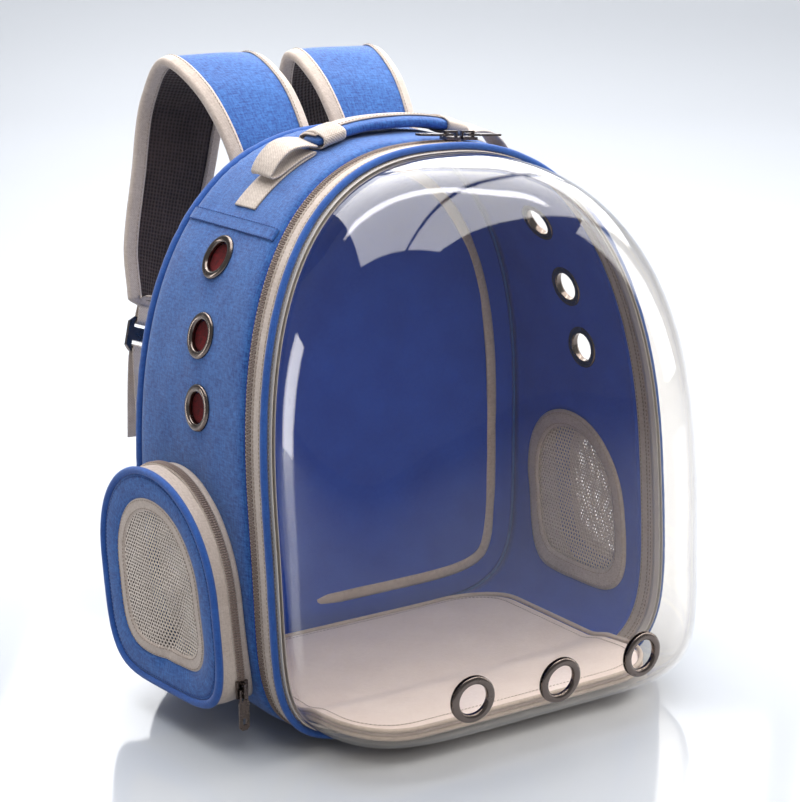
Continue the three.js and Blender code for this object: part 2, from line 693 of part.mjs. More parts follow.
// The highest facet that covers x, for what lies on the shell's crown
function crownPoint(x, offset, y) {
  for (let i = 0; i < OUTLINE_STATIONS; i += 1) {
    const k = (i + 1) % OUTLINE_STATIONS;
    const a = outlinePoint(i, offset, 0);
    const b = outlinePoint(k, offset, 0);
    if (Math.min(a.z, b.z) > WIDEST_HEIGHT && (a.x - x) * (b.x - x) <= 0 && a.x !== b.x) {
      const share = (x - a.x) / (b.x - a.x);
      const along = b.clone().sub(a).normalize();
      const point = a.clone().lerp(b, share);
      const rim = frontRim(outline[i].y + (outline[k].y - outline[i].y) * share);
      return { point: point.setY(y ?? rim), along, normal: new THREE.Vector3(-along.z, 0, along.x), rim };
    }
  }
  throw new RangeError(`no crown at ${x}`);
}

function buildMainSliders() {
  const offset = TAPE_OUTSIDE + ZIP_TEETH_HEIGHT + CLEAR;
  for (const side of SIDES) {
    const x = MAIN_SLIDER_X + (side.sign * MAIN_SLIDER_SPACING) / 2;
    const spot = crownPoint(x, offset);
    const normal = spot.normal.z < 0 ? spot.normal.negate() : spot.normal;
    const along = spot.along.x * side.sign > 0 ? spot.along : spot.along.negate();
    spot.point.y = spot.rim + ZIP_START + ZIP_TAPE_WIDTH / 2;
    addSlider(`main_zip_${side.name}`, spot.point, along, normal);
  }
}

function pocketTurn(station) {
  return (station / POCKET_STATIONS) * 2 * Math.PI;
}

function pocketZipBand(sign) {
  const step = POCKET_ZIP_WIDTH / 2 / POCKET_BULGE;
  const sections = [];
  for (let station = POCKET_ZIP_START; station <= POCKET_ZIP_END; station += 1) {
    const corner = (inset, lift) => pocketPoint(sign, pocketTurn(station), inset, lift);
    sections.push([
      corner(-CLEAR, POCKET_ZIP_LIFT - step), corner(-CLEAR - POCKET_ZIP_HEIGHT, POCKET_ZIP_LIFT - step),
      corner(-CLEAR - POCKET_ZIP_HEIGHT, POCKET_ZIP_LIFT + step), corner(-CLEAR, POCKET_ZIP_LIFT + step),
    ]);
  }
  return loft(sections, false);
}

function buildPocket(side) {
  const { name, sign } = side;
  const piping = POCKET_PIPING;
  addPiece(`pocket_${name}_wall`, pocketRing(sign, [
    [0, 0, 0], [0, 1, -CLEAR], [POCKET_WALL, 1, -CLEAR], [POCKET_WALL, 0, 0],
  ]), 'tape');
  addPiece(`pocket_${name}_piping`, pocketRing(sign, [
    [-piping.overhang, 1, 0], [-piping.overhang, 1, piping.height], [piping.crestInset, 1, piping.crest],
    [piping.lap, 1, piping.height], [piping.lap, 1, 0],
  ]), 'oxford');
  const frameOut = piping.lap + CLEAR;
  const frameIn = frameOut + POCKET_FRAME_WIDTH;
  addPiece(`pocket_${name}_frame`, pocketRing(sign, [
    [frameOut, 1, 0], [frameOut, 1, POCKET_WALL], [frameIn, 1, POCKET_WALL], [frameIn, 1, 0],
  ]), 'oxford');
  const borderIn = frameIn + CLEAR + POCKET_BORDER_WIDTH;
  addPiece(`pocket_${name}_border`, pocketRing(sign, [
    [frameIn + CLEAR, 1, BORDER_SEAT], [frameIn + CLEAR, 1, POCKET_WALL],
    [borderIn, 1, POCKET_WALL], [borderIn, 1, BORDER_SEAT],
  ]), 'tape');
  const net = (proud) => pocketTurns().map((turn) => pocketPoint(sign, turn, borderIn + CLEAR, 1, proud));
  addPiece(`pocket_${name}_net`, panel(net(NET_SEAT), net(NET_SEAT + NET_THICKNESS)), 'net');
  addPiece(`pocket_${name}_zip`, pocketZipBand(sign), 'teeth');

  const borderOffset = WALL_INSIDE - CLEAR - BORDER_SEAT;
  addPiece(`window_${name}_border`, windowRing(
    sign, WINDOW_INSET - WINDOW_BORDER_HEM, WINDOW_INSET + WINDOW_BORDER_LAP,
    borderOffset, borderOffset - WINDOW_BORDER_THICKNESS,
  ), 'tape');
  const netInset = WINDOW_INSET + WINDOW_NET_INSET;
  const windowNet = (offset) => pocketTurns().map((turn) => windowPoint(sign, turn, netInset, offset));
  addPiece(`window_${name}_net`, windowNetPanel(windowNet), 'net');
}

// The window net follows the curved wall, so it is made of strips from front to back
function windowNetPanel(edge) {
  const seat = WALL_INSIDE + CLEAR;
  const rows = (offset) => {
    const points = edge(offset);
    const half = POCKET_STATIONS / 2;
    const levels = [];
    for (let i = 1; i < half; i += 1) {
      levels.push([points[(POCKET_STATIONS + quarter() - i) % POCKET_STATIONS], points[quarter() + i]]);
    }
    return levels;
  };
  const front = rows(seat);
  const back = rows(seat + NET_THICKNESS);
  return loft(front.map(([a, b], i) => [a, b, back[i][1], back[i][0]]), false);
}

function quarter() {
  return Math.round(POCKET_STATIONS / 4);
}

// The slider stops at the lower end of the zip, upright against its front, and its tab hangs down
function buildPocketSlider(side) {
  const { name, sign } = side;
  const zipFace = (station) => pocketPoint(sign, pocketTurn(station), -CLEAR - POCKET_ZIP_HEIGHT, POCKET_ZIP_LIFT);
  const low = zipFace(POCKET_ZIP_START);
  const next = zipFace(POCKET_ZIP_START + 1);
  const seat = low.clone().lerp(next, POCKET_SLIDER_RISE / (next.z - low.z));
  seat.y -= CLEAR;
  seat.z -= SLIDER.length / 2;
  addSlider(`pocket_${name}`, seat, new THREE.Vector3(0, 0, -1), new THREE.Vector3(0, -1, 0));
}

// Handle: a padded grip that lies along the crown, with webbing ends sewn down on both sides
function gripSection(x, grow) {
  const share = x / HANDLE.halfLength;
  const under = crownPoint(x, WALL_OUTSIDE, HANDLE.y).point.z + HANDLE_CUFF.thickness + 2 * CLEAR;
  const middle = under + HANDLE.arch * (1 - share ** 2) + HANDLE.thickness / 2;
  return GRIP_SECTION.map(([across, up]) => new THREE.Vector3(
    x, HANDLE.y + across * (HANDLE.width / 2 + grow), middle + up * (HANDLE.thickness / 2 + grow),
  ));
}

// The cuff is webbing wrapped once round the end of the grip
function cuffGeometry(sign) {
  const [near, far] = [HANDLE_CUFF.start, HANDLE_CUFF.end].map((x) => [
    gripSection(sign * x, CLEAR), gripSection(sign * x, CLEAR + HANDLE_CUFF.thickness),
  ]);
  return loft(near[0].map((_, i) => [near[0][i], near[1][i], far[1][i], far[0][i]]), true);
}

// The webbing is sewn down along the crown, turns back on itself and folds over up to the grip
function handleWebbing(sign) {
  const offset = WALL_OUTSIDE + CLEAR + HANDLE_WEBBING.thickness / 2;
  const corners = outline.map((_, station) => outlinePoint(station, offset, HANDLE.y))
    .filter((p) => p.z > WIDEST_HEIGHT && p.x * sign > HANDLE_WEBBING.start && p.x * sign < HANDLE_WEBBING.end)
    .sort((a, b) => b.x * sign - a.x * sign);
  const onCrown = (x, lift) => {
    const spot = crownPoint(sign * x, offset, HANDLE.y).point;
    return spot.setZ(spot.z + lift);
  };
  const layer = HANDLE_WEBBING.layer;
  const route = [
    onCrown(HANDLE_WEBBING.end, 0), ...corners, onCrown(HANDLE_WEBBING.start, 0),
    onCrown(HANDLE_WEBBING.start - HANDLE_WEBBING.turn, layer / 2), onCrown(HANDLE_WEBBING.start, layer),
    ...HANDLE_FOLD.map(({ x, lift }) => onCrown(x, lift + layer)),
  ];
  const depthways = () => new THREE.Vector3(0, 1, 0);
  return flatRun(route, depthways, HANDLE_WEBBING.width, HANDLE_WEBBING.thickness);
}

function buildHandle() {
  const cuffEnds = [-HANDLE_CUFF.end, -HANDLE_CUFF.start, HANDLE_CUFF.start, HANDLE_CUFF.end];
  const stops = [-HANDLE.halfLength, ...cuffEnds, ...HANDLE_STOPS, HANDLE.halfLength].sort((a, b) => a - b);
  addPiece('handle_grip', loft(stops.map((x) => gripSection(x, 0)), false), 'oxford');
  for (const side of SIDES) {
    addPiece(`handle_cuff_${side.name}`, cuffGeometry(side.sign), 'tape');
    addPiece(`handle_webbing_${side.name}`, handleWebbing(side.sign), 'tape');
  }
}

// Shoulder strap surface: a smooth route with its own half width, the strap's broad way is X
function strapFrames(sign) {
  const route = new THREE.CatmullRomCurve3(
    STRAP_ROUTE.map((p) => new THREE.Vector3(p.x * sign, p.y, p.z)), false, 'centripetal',
  );
  const widths = new THREE.CatmullRomCurve3(
    STRAP_ROUTE.map((p) => new THREE.Vector3(p.halfWidth, 0, 0)), false, 'catmullrom',
  );
  return Array.from({ length: STRAP.sections + 1 }, (_, i) => {
    const share = i / STRAP.sections;
    const centre = route.getPoint(share);
    const tangent = route.getTangent(share);
    const across = new THREE.Vector3(1, 0, 0).addScaledVector(tangent, -tangent.x).normalize();
    const normal = new THREE.Vector3().crossVectors(across, tangent).normalize();
    return { centre, tangent, across, normal, half: widths.getPoint(share).x };
  });
}

function strapSection(frame, corners) {
  return corners.map(([across, up]) => frame.centre.clone()
    .addScaledVector(frame.across, across)
    .addScaledVector(frame.normal, up));
}

function buildStrap(side) {
  const { name, sign } = side;
  const frames = strapFrames(sign);
  const thick = STRAP.thickness / 2;
  addPiece(`strap_${name}_pad`, loft(frames.map((frame) => {
    const half = frame.half - STRAP.binding - CLEAR;
    return strapSection(frame, STRAP_SECTION.map(([across, up]) => [across * half, up * thick]));
  }), false), 'oxford');
  addPiece(`strap_${name}_binding`, strapBinding(frames, thick), 'tape');
  buildStrapEnd(name, frames[frames.length - 1]);
}

// The edge binding runs down one edge, round the lower end and up the other as one tape
function strapBinding(frames, thick) {
  const section = (origin, outward, normal) => BINDING_SECTION.map(([out, up]) => origin.clone()
    .addScaledVector(outward, out * STRAP.binding)
    .addScaledVector(normal, up * thick));
  const edge = (frame, direction) => section(
    frame.centre.clone().addScaledVector(frame.across, direction * (frame.half - STRAP.binding)),
    frame.across.clone().multiplyScalar(direction), frame.normal,
  );
  const last = frames[frames.length - 1];
  const ends = BINDING_TURN.map((across) => {
    const outward = last.tangent.clone().addScaledVector(last.across, across * Math.abs(across)).normalize();
    const origin = last.centre.clone()
      .addScaledVector(last.across, across * (last.half - STRAP.binding))
      .addScaledVector(last.tangent, CLEAR);
    return section(origin, outward, last.normal);
  });
  return loft([
    ...frames.map((frame) => edge(frame, -1)), ...ends, ...frames.map((frame) => edge(frame, 1)).reverse(),
  ], false);
}

function buckleGeometry() {
  const w = BUCKLE.width / 2;
  const l = BUCKLE.length / 2;
  const c = BUCKLE.corner;
  const shape = new THREE.Shape([
    [-w + c, -l], [w - c, -l], [w, -l + c], [w, l - c], [w - c, l], [-w + c, l], [-w, l - c], [-w, -l + c],
  ].map(([x, y]) => new THREE.Vector2(x, y)));
  const half = WEBBING.width / 2 + BUCKLE.play;
  for (const end of [-1, 1]) {
    const middle = end * (l - BUCKLE.bar - BUCKLE.slot / 2);
    shape.holes.push(rectanglePath(-half, half, middle - BUCKLE.slot / 2, middle + BUCKLE.slot / 2));
  }
  const geometry = new THREE.ExtrudeGeometry(shape, { depth: BUCKLE.thickness, bevelEnabled: false });
  geometry.translate(0, 0, -BUCKLE.thickness / 2);
  return geometry;
}

// A flat band carried along a run of points, with the direction of its broad way at each point
function flatRun(points, acrossAt, width, thickness) {
  return loft(points.map((point, i) => {
    const across = acrossAt(i);
    const before = points[Math.max(0, i - 1)];
    const after = points[Math.min(points.length - 1, i + 1)];
    const tangent = after.clone().sub(before).normalize();
    const normal = new THREE.Vector3().crossVectors(tangent, across).normalize();
    return [[-1, -1], [1, -1], [1, 1], [-1, 1]].map(([wide, up]) => point.clone()
      .addScaledVector(across, (wide * width) / 2)
      .addScaledVector(normal, (up * thickness) / 2));
  }), false);
}

function webbingBand(points, acrossAt) {
  return flatRun(points, acrossAt, WEBBING.width, WEBBING.thickness);
}

// Round a buckle bar: from under the bar, through the slot beyond it and back over the bar
function wrapPoints(bar, toSlot, normal) {
  const reach = BUCKLE.bar / 2 + CLEAR + WEBBING.thickness / 2;
  const rise = BUCKLE.thickness / 2 + CLEAR + WEBBING.thickness / 2;
  return BAR_WRAP.map(([forward, up]) => bar.clone()
    .addScaledVector(toSlot, forward * reach)
    .addScaledVector(normal, up * rise));
}

function buildStrapEnd(name, frame) {
  const down = frame.tangent.clone();
  const buckleCentre = STRAP.binding + CLEAR + BUCKLE_GAP + BUCKLE.length / 2;
  const centre = frame.centre.clone().addScaledVector(down, buckleCentre);
  const buckle = buckleGeometry();
  buckle.applyMatrix4(new THREE.Matrix4().makeBasis(frame.across, down, frame.normal));
  buckle.translate(centre.x, centre.y, centre.z);
  addPiece(`strap_${name}_buckle`, buckle, 'metal');

  const barReach = BUCKLE.length / 2 - BUCKLE.bar / 2;
  const topBar = centre.clone().addScaledVector(down, -barReach);
  const up = down.clone().negate();
  const loopEnd = frame.centre.clone().addScaledVector(down, STRAP.binding + 2 * CLEAR);
  const wrap = wrapPoints(topBar, down, frame.normal);
  const lift = WEBBING.thickness / 2 + CLEAR / 2;
  addPiece(`strap_${name}_loop`, webbingBand([
    loopEnd.clone().addScaledVector(frame.normal, -lift), ...wrap,
    loopEnd.clone().addScaledVector(frame.normal, lift),
  ], () => frame.across), 'tape');

  const lowBar = centre.clone().addScaledVector(down, barReach);
  const wrapLow = wrapPoints(lowBar, up, frame.normal);
  const panelFace = HALF_DEPTH + CLEAR + WEBBING.thickness / 2;
  const sewnAt = (height) => new THREE.Vector3(Math.sign(frame.centre.x) * ANCHOR.x, panelFace, height);
  const anchor = sewnAt(ANCHOR.high);
  const run = Array.from({ length: WEBBING_SECTIONS }, (_, i) => {
    const share = 1 - i / WEBBING_SECTIONS;
    return wrapLow[0].clone().lerp(anchor, share)
      .add(new THREE.Vector3(0, WEBBING_SAG * Math.sin(Math.PI * share), 0));
  });
  const hang = new THREE.Vector3(0, WEBBING_TAIL.lean, -1);
  const tailEnd = wrapLow[wrapLow.length - 1].clone().addScaledVector(hang, WEBBING_TAIL.length);
  const whole = [sewnAt(ANCHOR.low), ...run, ...wrapLow, tailEnd];
  const level = new THREE.Vector3(1, 0, 0);
  const acrossAt = (i) => level.clone().lerp(frame.across, Math.max(0, Math.min(1, (i - 1) / WEBBING_SECTIONS)))
    .normalize();
  addPiece(`strap_${name}_webbing`, webbingBand(whole, acrossAt), 'tape');
}

buildGusset();
buildBackPanel();
buildEdges();
buildDome();
buildMat();
buildMainSliders();
buildHandle();
for (const side of SIDES) {
  buildPocket(side);
  buildPocketSlider(side);
  buildStrap(side);
}

export default part;
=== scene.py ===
"""Blender scene of a bubble pet carrier backpack: cloth, clear dome, nets, zips and straps.

Sizes are in millimetres, and meshes are turned into metres when they are made. Lights and the camera are
placed in metres.
The front of the bag looks along -Y, Z is up and the bag stands on Z = 0.
"""

import json
import logging
import math
from collections.abc import Callable, Sequence
from dataclasses import dataclass, field
from enum import Enum

import bmesh
import bpy
import numpy as np
from mathutils import Matrix, Vector

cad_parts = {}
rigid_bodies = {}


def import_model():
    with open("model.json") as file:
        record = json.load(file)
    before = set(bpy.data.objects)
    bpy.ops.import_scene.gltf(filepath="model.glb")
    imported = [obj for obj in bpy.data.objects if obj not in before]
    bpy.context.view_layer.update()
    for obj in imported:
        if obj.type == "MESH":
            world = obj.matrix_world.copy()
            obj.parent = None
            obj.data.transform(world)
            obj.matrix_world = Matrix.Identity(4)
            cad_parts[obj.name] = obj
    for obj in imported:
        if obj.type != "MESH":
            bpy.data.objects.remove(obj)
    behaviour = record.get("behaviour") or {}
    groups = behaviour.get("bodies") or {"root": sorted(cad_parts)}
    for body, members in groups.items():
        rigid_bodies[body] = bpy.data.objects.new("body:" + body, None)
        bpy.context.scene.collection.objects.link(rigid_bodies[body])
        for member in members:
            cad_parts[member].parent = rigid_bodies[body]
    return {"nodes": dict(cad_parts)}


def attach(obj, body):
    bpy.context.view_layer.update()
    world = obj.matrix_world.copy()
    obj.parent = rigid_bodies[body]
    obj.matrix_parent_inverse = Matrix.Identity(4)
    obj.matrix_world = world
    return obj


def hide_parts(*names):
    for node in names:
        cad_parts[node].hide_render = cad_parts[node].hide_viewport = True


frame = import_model()

LOG = logging.getLogger("carrier")
MM = 0.001
CARRIER = "carrier"
CLOTH_MAP = "cloth_mm"
FINE_STEPS = 1440
Array = np.ndarray
Socket = bpy.types.NodeSocket
Tree = bpy.types.NodeTree


class Side(Enum):
    """A side of the bag as seen from the front, with the sign of X there."""

    LEFT = -1
    RIGHT = 1

    @property
    def label(self) -> str:
        """The word used in node names."""
        return self.name.lower()


class Weave(Enum):
    """How a cloth's surface is made."""

    OXFORD = "plain weave of doubled yarn"
    WEBBING = "ribbed narrow weave with a slant"
    AIR_MESH = "knitted spacer mesh with small round pits"
    PLUSH = "short soft pile"


# Colour and node helpers


def linear(colour: str) -> tuple[float, float, float, float]:
    """Turn an sRGB hex colour into linear values.

    Args:
        colour: Six hex digits.

    Returns:
        Linear red, green, blue and an alpha of one.
    """
    values = [int(colour[i : i + 2], 16) / 255 for i in (0, 2, 4)]
    bent = [v / 12.92 if v <= 0.04045 else ((v + 0.055) / 1.055) ** 2.4 for v in values]
    return (bent[0], bent[1], bent[2], 1.0)


def add_node(
    tree: Tree, kind: str, settings: dict | None = None, links: dict[str | int, Socket] | None = None
) -> bpy.types.Node:
    """Add a shader node, set it and link its inputs.

    Args:
        tree: The node tree.
        kind: Blender's name for the node type.
        settings: Values by input name or number, or by attribute name.
        links: Output sockets by input name or number.

    Returns:
        The new node.
    """
    node = tree.nodes.new(kind)
    for key, value in (settings or {}).items():
        if isinstance(key, int) or key in node.inputs:
            node.inputs[key].default_value = value
        else:
            setattr(node, key, value)
    for key, socket in (links or {}).items():
        tree.links.new(socket, node.inputs[key])
    return node


def combine(tree: Tree, operation: str, first: Socket | float, second: Socket | float = 0.0) -> Socket:
    """Join two sockets or numbers with a Math node.

    Args:
        tree: The node tree.
        operation: Blender's name for the operation.
        first: A socket or a number.
        second: A socket or a number, not read by a sine.

    Returns:
        The node's output socket.
    """
    node = add_node(tree, "ShaderNodeMath", {"operation": operation})
    for place, value in enumerate((first, second)):
        if isinstance(value, (int, float)):
            node.inputs[place].default_value = value
        else:
            tree.links.new(value, node.inputs[place])
    return node.outputs[0]


def spread(tree: Tree, socket: Socket, amount: float) -> Socket:
    """Stretch a value about 0.5 so that it varies about zero by an amount."""
    return combine(tree, "MULTIPLY", combine(tree, "SUBTRACT", socket, 0.5), amount)


def wave(tree: Tree, socket: Socket, pitch: float) -> Socket:
    """A sine of a length in millimetres, with the given millimetres from crest to crest."""
    return combine(tree, "SINE", combine(tree, "MULTIPLY", socket, 2 * math.pi / pitch))


# Finishes


@dataclass(frozen=True)
class Finish:
    """A material, named for what the real one is and how its surface was made."""

    name: str

    def surface(self, tree: Tree) -> Socket:
        """The shader's output; each kind of finish has its own."""
        raise NotImplementedError

    def material(self) -> bpy.types.Material:
        """Build the material once and reuse it.

        Returns:
            The material.
        """
        if self.name not in bpy.data.materials:
            material = bpy.data.materials.new(self.name)
            material.use_nodes = True
            tree = material.node_tree
            tree.nodes.clear()
            output = tree.nodes.new("ShaderNodeOutputMaterial")
            tree.links.new(self.surface(tree), output.inputs[0])
        return bpy.data.materials[self.name]


@dataclass(frozen=True)
class Cloth(Finish):
    """Dyed cloth. The pattern follows the cloth's own length and width, kept in its UV map in millimetres."""

    dark: str
    light: str
    weave: Weave = Weave.OXFORD
    yarn: float = 1.1
    relief: float = 0.16
    mottle: float = 0.5
    roughness: float = 0.82
    sheen: float = 0.25
    wear_length: float = 33.333
    dye_contrast: float = 3.4
    wear_contrast: float = 0.6
    crest_contrast: float = 0.7

    def surface(self, tree: Tree) -> Socket:
        """Matt cloth with a slight sheen, dyed unevenly along its yarns and faded in soft patches; its crests
        are painted lighter and its hollows darker, as painted light and shade.

        Args:
            tree: The material's node tree.

        Returns:
            The shader's output.
        """
        grid = add_node(tree, "ShaderNodeUVMap", {"uv_map": CLOTH_MAP}).outputs[0]
        split = add_node(tree, "ShaderNodeSeparateXYZ", links={0: grid})
        height = self.pattern(tree, grid, split.outputs[0], split.outputs[1])
        wear = add_node(
            tree,
            "ShaderNodeTexNoise",
            {"Scale": 1 / self.wear_length, "Detail": 2.0, "Roughness": 0.5},
            {"Vector": grid},
        )
        dye = spread(tree, self.threads(tree, grid), self.dye_contrast * self.mottle)
        fade = spread(tree, wear.outputs[0], self.wear_contrast)
        # Colour by the weave's height: a painted highlight on the crests and painted shade in the hollows.
        crest = spread(tree, height, self.crest_contrast)
        share = combine(tree, "ADD", combine(tree, "ADD", dye, fade), combine(tree, "ADD", crest, 0.5))
        paint = add_node(
            tree,
            "ShaderNodeMix",
            {"data_type": "RGBA", "clamp_factor": True, 6: linear(self.dark), 7: linear(self.light)},
            {0: share},
        )
        bump = add_node(
            tree, "ShaderNodeBump", {"Strength": 0.8, "Distance": self.relief * MM}, {"Height": height}
        )
        shader = add_node(
            tree,
            "ShaderNodeBsdfPrincipled",
            {
                "Roughness": self.roughness,
                "Sheen Weight": self.sheen,
                "Sheen Roughness": 0.5,
                "Specular IOR Level": 0.3,
            },
            {"Base Color": paint.outputs[2], "Normal": bump.outputs[0]},
        )
        return shader.outputs[0]

    def threads(self, tree: Tree, grid: Socket) -> Socket:
        """Uneven dye along the yarns of both directions.

        Args:
            tree: The node tree.
            grid: The cloth's coordinates in millimetres.

        Returns:
            A value about 0.5.
        """
        fine = 0.75 / self.yarn
        coarse = fine / 4
        both = []
        for scale in ((fine, coarse, 1.0), (coarse, fine, 1.0)):
            turned = add_node(tree, "ShaderNodeMapping", {"Scale": scale}, {"Vector": grid})
            yarns = add_node(
                tree,
                "ShaderNodeTexNoise",
                {"Scale": 1.0, "Detail": 2.0, "Roughness": 0.6},
                {"Vector": turned.outputs[0]},
            )
            both.append(yarns.outputs[0])
        return combine(tree, "MULTIPLY", combine(tree, "ADD", *both), 0.5)

    def pattern(self, tree: Tree, grid: Socket, across: Socket, along: Socket) -> Socket:
        """Height of the cloth's surface, from 0 to 1.

        Args:
            tree: The node tree.
            grid: The cloth's coordinates in millimetres.
            across: Their first part.
            along: Their second part.

        Returns:
            The height.
        """
        if self.weave is Weave.OXFORD:
            cross = combine(tree, "MULTIPLY", wave(tree, across, self.yarn), wave(tree, along, self.yarn))
            return combine(tree, "ADD", combine(tree, "MULTIPLY", cross, 0.5), 0.5)
        if self.weave is Weave.WEBBING:
            rib = self.yarn * 1.6
            slant = wave(tree, combine(tree, "ADD", across, along), rib)
            back = wave(tree, combine(tree, "SUBTRACT", across, along), rib)
            slant = combine(tree, "MULTIPLY", slant, 0.3)
            cross = combine(tree, "ADD", slant, combine(tree, "MULTIPLY", back, 0.2))
            return combine(tree, "ADD", cross, 0.5)
        if self.weave is Weave.AIR_MESH:
            cells = add_node(
                tree,
                "ShaderNodeTexVoronoi",
                {"Scale": 1 / self.yarn, "Randomness": 0.15, "voronoi_dimensions": "2D"},
                {"Vector": grid},
            )
            return combine(tree, "MINIMUM", combine(tree, "MULTIPLY", cells.outputs[0], 1.6), 1.0)
        pile = add_node(
            tree,
            "ShaderNodeTexNoise",
            {"Scale": 1 / self.yarn, "Detail": 4.0, "Roughness": 0.7},
            {"Vector": grid},
        )
        return pile.outputs[0]


@dataclass(frozen=True)
class PlainFinish(Finish):
    """One smooth colour: sewing thread, nylon coil or the painted studio sweep."""

    colour: str
    roughness: float = 0.55
    specular: float = 0.4

    def surface(self, tree: Tree) -> Socket:
        """Smooth and a little glossy.

        Args:
            tree: The material's node tree.

        Returns:
            The shader's output.
        """
        shader = add_node(
            tree,
            "ShaderNodeBsdfPrincipled",
            {
                "Base Color": linear(self.colour),
                "Roughness": self.roughness,
                "Specular IOR Level": self.specular,
            },
        )
        return shader.outputs[0]


@dataclass(frozen=True)
class ClearSheet(Finish):
    """Thermoformed clear plastic: a gloss coat over a see-through body, so that light passes the sheet."""

    tint: str
    ior: float = 1.49
    roughness: float = 0.03

    def surface(self, tree: Tree) -> Socket:
        """Mirror-like at grazing angles and clear when seen straight on, alike from both faces.

        Args:
            tree: The material's node tree.

        Returns:
            The shader's output.
        """
        gloss = add_node(
            tree,
            "ShaderNodeBsdfPrincipled",
            {"Base Color": (1.0, 1.0, 1.0, 1.0), "Metallic": 1.0, "Roughness": self.roughness},
        )
        body = add_node(tree, "ShaderNodeBsdfTransparent", {"Color": linear(self.tint)})
        facing = add_node(tree, "ShaderNodeLayerWeight", {"Blend": 0.5}).outputs["Facing"]
        # Schlick's rule: what an interface of this IOR reflects straight on, and the rise to grazing.
        straight = ((self.ior - 1) / (self.ior + 1)) ** 2
        grazing = combine(tree, "MULTIPLY", combine(tree, "POWER", facing, 5.0), 1 - straight)
        share = combine(tree, "ADD", grazing, straight)
        layers = {0: share, 1: body.outputs[0], 2: gloss.outputs[0]}
        return add_node(tree, "ShaderNodeMixShader", links=layers).outputs[0]


@dataclass(frozen=True)
class FrostedVinyl(Finish):
    """The milky welt that is welded to the dome's edge."""

    colour: str
    roughness: float = 0.35
    clearness: float = 0.25
    ior: float = 1.5

    def surface(self, tree: Tree) -> Socket:
        """Soft vinyl that lets a little light through.

        Args:
            tree: The material's node tree.

        Returns:
            The shader's output.
        """
        shader = add_node(
            tree,
            "ShaderNodeBsdfPrincipled",
            {
                "Base Color": linear(self.colour),
                "Roughness": self.roughness,
                "Transmission Weight": self.clearness,
                "IOR": self.ior,
            },
        )
        return shader.outputs[0]


@dataclass(frozen=True)
class PlatedMetal(Finish):
    """Die-cast or pressed metal with a dark nickel plate, polished and lightly worn."""

    colour: str
    roughness: float = 0.2
    smear_length: float = 6.25

    def surface(self, tree: Tree) -> Socket:
        """A metal whose gloss varies in small smears.

        Args:
            tree: The material's node tree.

        Returns:
            The shader's output.
        """
        place = add_node(tree, "ShaderNodeTexCoord")
        smears = add_node(
            tree,
            "ShaderNodeTexNoise",
            {"Scale": 1 / (self.smear_length * MM), "Detail": 3.0, "Roughness": 0.6},
            {"Vector": place.outputs["Object"]},
        )
        low, high = self.roughness * 0.7, self.roughness * 1.5
        rough = add_node(
            tree,
            "ShaderNodeMapRange",
            {"From Min": 0.3, "From Max": 0.7, "To Min": low, "To Max": high},
            {"Value": smears.outputs[0]},
        )
        shader = add_node(
            tree,
            "ShaderNodeBsdfPrincipled",
            {"Base Color": linear(self.colour), "Metallic": 1.0},
            {"Roughness": rough.outputs[0]},
        )
        return shader.outputs[0]


# Real oxford yarns are about half as wide. They are drawn coarser here, to show as the photograph's heather.
OXFORD = Cloth("blue coated oxford cloth, woven", "13357A", "3B72B9", yarn=1.1, mottle=0.9)
# Bias-cut strips over a cord: the same cloth, tighter, more even and a shade deeper.
OXFORD_DEEP = Cloth("blue oxford cloth piping, bias cut", "163579", "386CBC", yarn=0.9, mottle=0.35)
# Brushed lining looks flatter and purer in colour than the coated outside.
LINING = Cloth(
    "blue lining cloth, brushed", "143293", "2F5BC8", yarn=0.8, relief=0.06, mottle=0.25, sheen=0.1
)
# Narrow tape with a fine slanting rib, which catches light along its edges.
BEIGE_TAPE = Cloth("beige grosgrain tape, woven", "A59387", "D3C5BA", Weave.WEBBING, yarn=0.9, relief=0.14)
# Strap webbing is thicker, so its herringbone shows plainly.
BEIGE_WEBBING = Cloth(
    "beige polypropylene webbing, woven", "9F8E81", "D4C7BC", Weave.WEBBING, yarn=1.4, relief=0.3
)
# The tape inside the cabin is a darker copy of the beige tape, painted shade for where it lies, and it is a
# little smoother.
SHADED_TAPE = Cloth(
    "beige-brown lining tape, woven", "9A8A80", "CDBFB5", Weave.WEBBING, yarn=0.9, relief=0.12
)
# Zip tape is thin and nearly flat.
ZIP_TAPE = Cloth("beige zip tape, woven", "94857A", "C4B6AB", Weave.WEBBING, yarn=0.7, relief=0.08)
# Spacer mesh shows pits 3 mm apart in a brown-black knit; the pits' darkness is painted shade, from the
# colour that follows the weave's height.
AIR_MESH = Cloth(
    "black spacer mesh, knitted", "060404", "4B3C3B", Weave.AIR_MESH, yarn=3.0, relief=0.7, mottle=0.2
)
# Short pile gives the mat a soft, even, powdery look.
MAT_CLOTH = Cloth(
    "pinkish beige short plush", "DDCBC4", "F6EAE5", Weave.PLUSH, yarn=1.2, relief=0.35, mottle=0.3
)
# Gauze is open, so the cabin's shade shows through it: its dark colour is painted shade over red yarns. Its
# yarns are drawn coarser than real ones, to show at all.
GAUZE = Cloth("dark red gauze, woven", "160103", "7A0911", yarn=1.6, relief=0.5, mottle=0.7, sheen=0.02)
# Knitted cord has real holes in its mesh, and only a faint twist of its own.
NET_CORD = Cloth(
    "beige knitted net cord", "BDAB9C", "EDE2D7", Weave.WEBBING, yarn=0.5, relief=0.05, mottle=0.3
)
# Spun polyester thread has a dull shine; the nylon coil is moulded and glossier.
BLUE_THREAD = PlainFinish("blue polyester sewing thread", "24407F")
BEIGE_THREAD = PlainFinish("beige polyester sewing thread", "A19082")
BROWN_THREAD = PlainFinish("brown polyester sewing thread", "5E4C42")
COIL = PlainFinish("brown nylon zip coil", "85736A", 0.34)
# Formed clear sheet is glossy and nearly colourless.
CLEAR = ClearSheet("clear thermoformed sheet", "FDFBF8")
# The welt is milky, so the dome's edge reads as a pale line.
WELT = FrostedVinyl("frosted vinyl welt", "D9D2CB")
